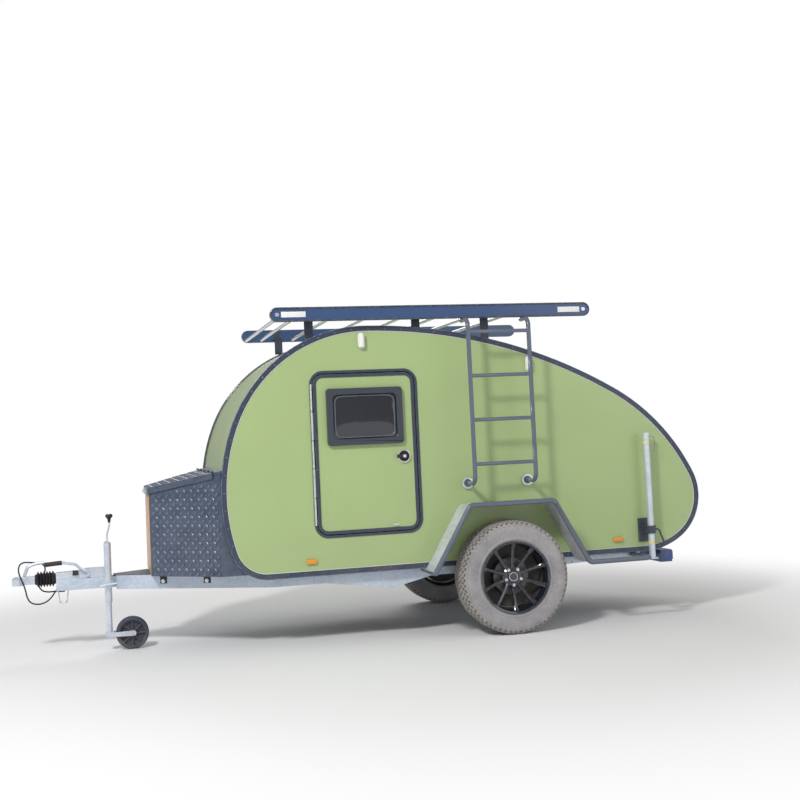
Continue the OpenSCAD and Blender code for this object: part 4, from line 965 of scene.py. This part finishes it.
def spokeMesh(name):
    # sections along the spoke: distance from the hub's axis, height, half width, depth
    sections = [(0.040, 0.036, 0.0150, 0.030), (0.075, 0.041, 0.0115, 0.026), (0.130, 0.052, 0.0100, 0.022),
        (0.185, 0.068, 0.0110, 0.022), (0.214, 0.081, 0.0140, 0.030), (0.228, 0.088, 0.0180, 0.038)]
    bm = bmesh.new()
    rings = []
    for reach, height, half, depth in sections:
        outline = [(-half, -depth), (-half, -0.004), (-half * 0.55, 0.0), (half * 0.55, 0.0), (half, -0.004),
            (half, -depth)]
        rings.append([bm.verts.new((reach, y, height + z)) for y, z in outline])
    for low, high in zip(rings, rings[1:]):
        for k in range(6):
            bm.faces.new((low[k], low[(k + 1) % 6], high[(k + 1) % 6], high[k]))
    bm.faces.new(rings[0])
    bm.faces.new(rings[-1])
    return finished(bm, name)


for shapeName, shapeSizes in treadShapes.items():
    keepShape(shapeName, treadBlockMesh(shapeName, *shapeSizes))
keepShape("spoke", spokeMesh("spoke"))


def aroundWheel(centre, angle, radius, across):
    return centre + Vector((radius * math.cos(angle), across, radius * math.sin(angle)))


def makeWheel(side, sign):
    body = "wheel_" + side
    low, high = cornersOf(side + "_tyre")
    centre = (low + high) / 2
    half = wheelSet["sidewall"]
    profile = half + [(r, -h) for r, h in reversed(half)] + [(0.224, -0.080), (0.224, 0.080)]
    tyre = turnedMesh(side + "Tyre", profile, centre, (0, sign, 0), 120, True)
    case = newPiece(side + "_tyre_case", tyre, "tyre_rubber", body, (side + "_tyre",), 40)
    # the carcass between the tread blocks is painted darker, painted shade in the grooves
    paintFaces(case, "grooveShade", lambda p: math.hypot(p.x - centre.x, p.z - centre.z) > 0.360)
    points = []
    for across, radius, tilt, share, shape in treadRows:
        for hand in ((1,) if across == 0 else (1, -1)):
            for k in range(wheelSet["blocks"]):
                angle = 2 * math.pi * (k + share + (0.25 if hand < 0 else 0)) / wheelSet["blocks"]
                away = Vector((math.cos(angle), 0, math.sin(angle)))
                lean = math.radians(tilt)
                facing = away * math.cos(lean) + Vector((0, hand, 0)) * math.sin(lean)
                along = Vector((-math.sin(angle), 0.22 * hand, math.cos(angle)))
                points.append((shape, (aroundWheel(centre, angle, radius, hand * across), facing, along)))
    for shape in treadShapes:
        onPoints(side + "_" + shape + "s", [p for s, p in points if s == shape], shape, "treadDusty", body,
            0.05, 7, 25)
    # rim: an open barrel with a lip, turned from one closed outline
    barrel = [(0.2300, -0.086), (0.2440, -0.097), (0.2440, -0.101), (0.2290, -0.094), (0.2220, -0.084),
        (0.2150, -0.030), (0.2150, 0.040), (0.2230, 0.082), (0.2290, 0.098), (0.2400, 0.1035),
        (0.2455, 0.1015), (0.2455, 0.0985), (0.2330, 0.0930), (0.2300, 0.0850), (0.2230, 0.040), (0.2230, -0.030)]
    rim = turnedMesh(side + "Rim", barrel, centre, (0, sign, 0), 96, True)
    hub = turnedMesh(side + "Hub", [(0.0, 0.006), (0.060, 0.006), (0.072, 0.014), (0.072, 0.030), (0.062, 0.038),
        (0.040, 0.040), (0.036, 0.037), (0.0, 0.037)], centre, (0, sign, 0), 60)
    drum = newPiece(side + "_rim_barrel", joined("rim", [rim, hub]), "rim_paint", body,
        (side + "_rim",), 30)
    # the inboard part of the barrel in matte black, painted shade inside the wheel
    paintFaces(drum, "black_rubber", lambda p: (p.y - centre.y) * sign < 0.055
        and math.hypot(p.x - centre.x, p.z - centre.z) > 0.16)
    out = Vector((0, sign, 0))
    spokes = []
    for k in range(wheelSet["spokes"]):
        angle = 2 * math.pi * (k + 0.5) / wheelSet["spokes"]
        spokes.append((centre, out, (math.cos(angle), 0, math.sin(angle))))
    onPoints(side + "_rim_spokes", spokes, "spoke", "rim_paint", body, smooth=28)
    nuts = []
    for k in range(wheelSet["nuts"]):
        angle = 2 * math.pi * k / wheelSet["nuts"] + math.radians(54)
        nuts.append((aroundWheel(centre, angle, wheelSet["nutCircle"], sign * 0.034), out, (1, 0, 0)))
    onPoints(side + "_wheel_nuts", nuts, "nut", "brightMetal", body)
    # a black disc behind the spokes, out almost to the barrel: partly the brake's backing plate, partly a dark sheet
    # for the shade inside the wheel
    backingShadeDisc = turnedMesh(side + "BackingShadeDisc", [(0, -0.066), (0.209, -0.066), (0.2145, -0.060), (0.209, -0.0615),
        (0, -0.0615)],
        centre, out, 60)
    newPiece(side + "_backing_plate", backingShadeDisc, "black_plastic", "trailer")
    cap = turnedMesh(side + "Cap", [(0.034, 0.035), (0.034, 0.041), (0.030, 0.0445), (0.026, 0.0445), (0.024, 0.042),
        (0, 0.0435)], centre, (0, sign, 0), 40)
    newPiece(side + "_hub_cap", cap, "rim_paint", body)
    ring = turnedMesh(side + "CapRing", [(0.0265, 0.0445), (0.030, 0.0445), (0.030, 0.0455), (0.0265, 0.0455)],
        centre, (0, sign, 0), 40, True)
    newPiece(side + "_cap_ring", ring, "brightMetal", body)


for side, sign in sides:
    makeWheel(side, sign)
print("wheels finished")


# Fenders and the front box: tread plate bars in rows that turn by a right angle
def plateBars(origin, right, up, facing, wide, high, pitch, keep=None):
    points = []
    right, up, facing, origin = (Vector(v) for v in (right, up, facing, origin))
    diagonals = ((right + up).normalized(), (right - up).normalized())
    rows, columns = int(high / pitch), int(wide / pitch)
    for half, along in ((0.0, diagonals[0]), (0.5, diagonals[1])):
        for i in range(columns + 1):
            for k in range(rows + 1):
                x, z = (i + half + 0.25) * pitch, (k + half + 0.25) * pitch
                place = origin + right * x + up * z
                if x < wide - 0.012 and z < high - 0.012 and (keep is None or keep(place)):
                    points.append((place, facing, along))
    return points


fenderSet = {"rise": 0.260, "fall": 0.238, "pitch": 0.046, "inner": 0.722, "edge": 0.012, "trimmed": 0.045}
boxSet = {"pitch": 0.058, "frontHalf": 0.300, "slope": 12, "high": 0.580, "lidRim": 0.028, "edge": 0.012}


def fenderBars(side, sign):
    low, high = cornersOf("fenders")
    foot = Vector((low.x, 0, low.z + 0.0095))
    knee = Vector((foot.x + fenderSet["rise"], 0, high.z))
    heel = Vector((high.x - fenderSet["fall"], 0, high.z))
    end = Vector((high.x, 0, low.z + 0.0015))
    inner, edge, trimmed = (fenderSet[k] for k in ("inner", "edge", "trimmed"))
    y0, y1 = (low.y + edge, -inner) if sign < 0 else (inner, high.y - edge)
    points = []
    for a, b in ((foot, knee), (knee, heel), (heel, end)):
        run = (b - a).normalized()
        outward = Vector((-run.z, 0, run.x))
        start = a + run * trimmed + Vector((0, y0, 0))
        points += plateBars(start, (0, 1, 0), run, outward, y1 - y0, (b - a).length - 2 * trimmed, fenderSet["pitch"])
    return points


# the fender's bars in a paler finish than the plate, a painted highlight
onPoints("fender_bars", fenderBars("left", -1) + fenderBars("right", 1), "fenderBar", "fenderBarGlint", "trailer",
    0.03)
softened("fenders", smooth=40)

boxLow, boxHigh = cornersOf("front_box")
lidLow, lidHigh = cornersOf("box_lid")
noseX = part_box("edge_trims")[0][0]
frontHalf = boxSet["frontHalf"]
slope = math.tan(math.radians(boxSet["slope"]))
boxTop = boxLow.z + boxSet["high"]
rimDepth = boxSet["lidRim"]
boxEdge = boxSet["edge"]


def topAt(x):
    return boxTop + (x - boxLow.x) * slope


def boxBars():
    points = []
    for side, sign in sides:
        corner = Vector((boxLow.x, sign * frontHalf, boxLow.z))
        bend = Vector((noseX, sign * boxHigh.y, boxLow.z))
        run = (bend - corner).normalized()
        facing = run.cross(Vector((0, 0, 1))) * -sign
        points += plateBars(corner + run * boxEdge, run, (0, 0, 1), facing, (bend - corner).length - boxEdge, 0.70,
            boxSet["pitch"], lambda p: p.z < topAt(p.x) - rimDepth - 0.016)
    return points


# the box's and lid's bars take the paler finish, a painted highlight on the bars
onPoints("box_bars", boxBars(), "plateBar", "barShadeAndGlint", "trailer", 0.04, 5, 25)
uphill = Vector((math.cos(math.radians(boxSet["slope"])), 0, math.sin(math.radians(boxSet["slope"]))))
lidFacing = Vector((-uphill.z, 0, uphill.x))
lidStart = Vector((lidLow.x + boxEdge, 0, 0))
lidStart.z = topAt(lidStart.x) + 0.016
flare = (boxHigh.y - frontHalf) / (noseX - boxLow.x)
lidBars = plateBars(lidStart - Vector((0, 0.69, 0)), (0, 1, 0), uphill, lidFacing, 1.38, 0.40, boxSet["pitch"],
    lambda p: abs(p.y) < frontHalf - boxEdge + (p.x - boxLow.x) * flare and p.x < lidHigh.x - 0.03)
onPoints("lid_bars", lidBars, "plateBar", "barShadeAndGlint", "box_lid", 0.04, 5, 25)
softened("front_box", smooth=30)
softened("box_lid", bevel=0.004, segments=3)
panel = blockMesh("panel", (boxLow.x - 0.004, -frontHalf + 0.012, boxLow.z + 0.010),
    (boxLow.x - 0.0005, frontHalf - 0.012, boxTop - rimDepth - 0.008), 0.001)
newPiece("box_front_panel", panel, "tanPanel", "trailer")
print("plates finished")


# Rack and ladder: pale tubes, reflectors in the rails' recess, a bolt at each end, bright feet
rackSet = {"reflectorFrom": 0.240, "reflectorTo": 0.075, "reflectorHigh": 0.030, "lip": 0.0050}
railLow, railHigh = cornersOf("rack_rails")
railZ = (railLow.z + railHigh.z) / 2
endRadius = (railHigh.z - railLow.z) / 2
softened("rack_rails", bevel=0.0015)
softened("rack_cross_tubes", "brightMetal")
softened("rack_brackets")
softened("ladder", smooth=45)
bolts, reflectors, lips = [], [], []
for side, sign in sides:
    outer = sign * (railHigh.y - 0.005)   # the bottom of the rail's recess
    for x in (railLow.x + endRadius, railHigh.x - endRadius):
        bolts.append(((x, outer, railZ), (0, sign, 0), (1, 0, 0)))
    for x in (railHigh.x - rackSet["reflectorFrom"], railLow.x + rackSet["reflectorTo"]):
        half = rackSet["reflectorHigh"] / 2 + 0.004
        reflectors.append(blockMesh("reflector", (x, min(outer, outer + sign * 0.002), railZ - half),
            (x + 0.165, max(outer, outer + sign * 0.002), railZ + half), 0.0008))
    ring = []
    for k in range(64):
        angle = 2 * math.pi * k / 64
        middle = railHigh.x - endRadius if math.cos(angle) > 0 else railLow.x + endRadius
        reach = endRadius - 0.004
        ring.append((middle + reach * math.cos(angle), sign * (railHigh.y - 0.0008), railZ + reach * math.sin(angle)))
    lips.append(ring)
onPoints("rail_bolts", bolts, "railBolt", "brightMetal", "trailer")
newPiece("rail_reflectors", joined("reflectors", reflectors), "white_lens", "trailer")
grown("rail_lips", lineMesh("lips", lips), beadWork, {"Radius": rackSet["lip"]}, "trim_paint", "trailer")
ladderLow, ladderHigh = cornersOf("ladder")
feet = []
for x in (ladderLow.x + 0.038, ladderHigh.x - 0.038):
    foot = (x, -0.7152, ladderLow.z + 0.038)
    feet.append(turnedMesh("foot", [(0.026, 0.012), (0.040, 0.012), (0.0405, 0.016), (0.037, 0.018), (0.028, 0.018)],
        foot, (0, -1, 0), 40, True))
newPiece("ladder_foot_rings", joined("feet", feet), "brightMetal", "trailer")
print("rack finished")


# Hitch: bellows with rolled folds, a grip on the brake lever, the cable and its plug
hitchSet = {"folds": 6, "foldHigh": 0.054, "foldLow": 0.038, "grip": 0.0155}
bellowsLow, bellowsHigh = cornersOf("coupling_bellows")
bellowsPlace = Vector((bellowsLow.x, 0, (bellowsLow.z + bellowsHigh.z) / 2))
bellowsLong = bellowsHigh.x - bellowsLow.x
profile = [(0.0235, 0.0), (0.036, 0.0), (0.036, 0.008)]
turns = hitchSet["folds"] * 8
for k in range(turns + 1):
    wave = 0.5 - 0.5 * math.cos(2 * math.pi * k / 8)
    radius = hitchSet["foldLow"] + (hitchSet["foldHigh"] - hitchSet["foldLow"]) * wave ** 0.8
    profile.append((radius, 0.010 + (bellowsLong - 0.020) * k / turns))
profile += [(0.036, bellowsLong - 0.008), (0.036, bellowsLong), (0.0235, bellowsLong)]
newPiece("bellows_folds", turnedMesh("bellows", profile, bellowsPlace, (1, 0, 0), 48, True), "black_rubber",
    "trailer", ("coupling_bellows",), 50)
leverLow, leverHigh = cornersOf("brake_lever")
leverY = -0.056
gripPath = [(leverLow.x - 0.002, leverY, leverHigh.z - 0.0165), (leverLow.x + 0.03, leverY, leverHigh.z - 0.0150),
    (leverLow.x + 0.07, leverY, leverHigh.z - 0.0125), (leverLow.x + 0.114, leverY, leverHigh.z - 0.0105)]
newPiece("lever_grip", tubeMesh("grip", gripPath, hitchSet["grip"], 20), "black_rubber", "trailer")
for node, bevel in (("drawbar_head", 0.003), ("coupling_head", 0.0), ("brake_lever", 0.0),
        ("drawbar_beams", 0.002), ("chassis_rails", 0.002), ("jockey_clamp", 0.001), ("jockey_leg", 0.0),
        ("jockey_fork", 0.001), ("light_bar", 0.003), ("prop_leg_left", 0.0),
        ("prop_leg_right", 0.0), ("rear_lamps", 0.003), ("marker_lamps", 0.003), ("porch_lamps", 0.0),
        ("hatch_handles", 0.002), ("cable_plug", 0.0), ("cable_holders", 0.001), ("axle_beam", 0.001),
        ("left_drum", 0.0), ("right_drum", 0.0)):
    softened(node, bevel=bevel)
softened("fender_rails", "ladder_paint")
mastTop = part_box("jockey_mast")[1][2]
paintFaces(softened("overrun_housing", bevel=0.002), "black_plastic", lambda p: p.y < -0.0425)
paintFaces(softened("jockey_mast"), "black_plastic", lambda p: p.z > mastTop - 0.062)
softened("jockey_wheel", "jockeyPlastic", bevel=0.001)
softened("prop_brackets", bevel=0.0015)
propSet = {
    "radius": 0.022, "bands": (0.105, 0.812), "high": 0.022,
    # the pin's cord: distance from the leg's middle, drop below the start
    "loop": ((0.018, 0), (0.040, -0.006), (0.062, 0.010), (0.068, 0.040), (0.066, 0.075), (0.060, 0.098),
        (0.050, 0.104)),
}
for side, sign in sides:
    low, high = cornersOf("prop_leg_" + side)
    foot = Vector(((low.x + high.x) / 2, (low.y + high.y) / 2, low.z))
    top = high.z - 0.030
    radius = propSet["radius"]
    proud, sunk, high = radius + 0.0012, radius - 0.001, propSet["high"]
    bands = [turnedMesh("band", [(sunk, z), (proud, z + 0.0005), (proud, z + high), (sunk, z + high + 0.0005)],
        foot, (0, 0, 1), 32, True) for z in propSet["bands"]]
    newPiece("prop_bands_" + side, joined("bands", bands), "grabYellow", "prop_" + side)
    loop = [(foot.x + reach, foot.y, top - drop) for reach, drop in propSet["loop"]]
    newPiece("prop_loop_" + side, tubeMesh("loop", loop, 0.0022, 10), "ladder_paint", "prop_" + side)
# dark tabs that hold the box, folded down over the outer faces of the two beams
tabSet = {"wide": 0.050, "high": 0.062, "thick": 0.004, "from": (0.0805, 0.3605)}
plate = bmesh.new()
plate.from_mesh(nodes["drawbar_plates"].data)
bmesh.ops.remove_doubles(plate, verts=plate.verts, dist=2e-5)
plateTop = max(v.co.z for v in plate.verts)
hanging = [f for f in plate.faces if f.calc_center_median().z < plateTop - 0.012]
bmesh.ops.delete(plate, geom=hanging, context="FACES")
bmesh.ops.holes_fill(plate, edges=[e for e in plate.edges if e.is_boundary])
newPiece("drawbar_cover", finished(plate, "cover"), "trim_paint", "trailer", ("drawbar_plates",))
beams = bmesh.new()
beams.from_mesh(nodes["drawbar_beams"].data)
beamTree = BVHTree.FromBMesh(beams)
beamLow, beamHigh = cornersOf("drawbar_beams")
tabs, tabBolts = [], []
for side, sign in sides:
    for reach in tabSet["from"]:
        x, z = boxLow.x + reach, beamHigh.z - tabSet["high"] / 2 + 0.002
        hit, facing, _, _ = beamTree.ray_cast(Vector((x, sign * 1.2, z - 0.010)), Vector((0, -sign, 0)))
        place = Vector((hit.x, hit.y, z))
        turn = Vector((0, sign, 0)).rotation_difference(facing).to_matrix().to_4x4()
        half = Vector((tabSet["wide"] / 2, tabSet["thick"] / 2, tabSet["high"] / 2))
        tabs.append(blockMesh("tab", -half, half, 0.0012, 2, Matrix.Translation(place + facing * half.y) @ turn))
        tabBolts.append((place + facing * tabSet["thick"] - Vector((0, 0, 0.014)), facing, (1, 0, 0)))
beams.free()
newPiece("box_tabs", joined("tabs", tabs), "black_plastic", "trailer")
onPoints("box_tab_bolts", tabBolts, "railBolt", "brightMetal", "trailer")
cableSet = {"radius": 0.005, "shift": 0.8875, "length": 1.104}
# the cable's route in millimetres from the axle, as the part has it
cableRoute = [
    (-2985, 30, 412), (-3015, 31, 411), (-3055, 38, 410), (-3090, 52, 417), (-3113, 64, 440),
    (-3117, 70, 476), (-3101, 72, 512), (-3078, 71, 545), (-3076, 67, 580), (-3098, 59, 604),
    (-3134, 46, 614), (-3172, 28, 620), (-3208, 6, 624), (-3234, -16, 612), (-3243, -34, 580),
    (-3236, -47, 544), (-3222, -54, 508), (-3208, -57, 470), (-3198, -57, 432), (-3190, -52, 394),
    (-3174, -38, 361), (-3146, -16, 341), (-3108, 10, 335), (-3070, 36, 344), (-3038, 58, 368),
    (-3012, 74, 402), (-2984, 82, 432), (-2952, 85, 445), (-2920, 85, 446),
]


def smoothRoute(points, steps):
    points = [Vector((x / 1000 + cableSet["shift"], y / 1000, z / 1000)) for x, y, z in points]
    line = []
    for k in range(len(points) - 1):
        a, b, c, d = (points[max(0, min(len(points) - 1, k + j))] for j in (-1, 0, 1, 2))
        for n in range(steps):
            t = n / steps
            line.append(b + t * (c - a) / 2 + t * t * (2 * a - 5 * b + 4 * c - d) / 2
                + t * t * t * (3 * b - a - 3 * c + d) / 2)
    return line + [points[-1]]


cableLine = smoothRoute(cableRoute, 5)
cable = newPiece("cable", tubeMesh("cable", cableLine, cableSet["radius"], 14), "cable_jacket", "trailer",
    ("drawbar_cable",), 60)
print("hitch finished")
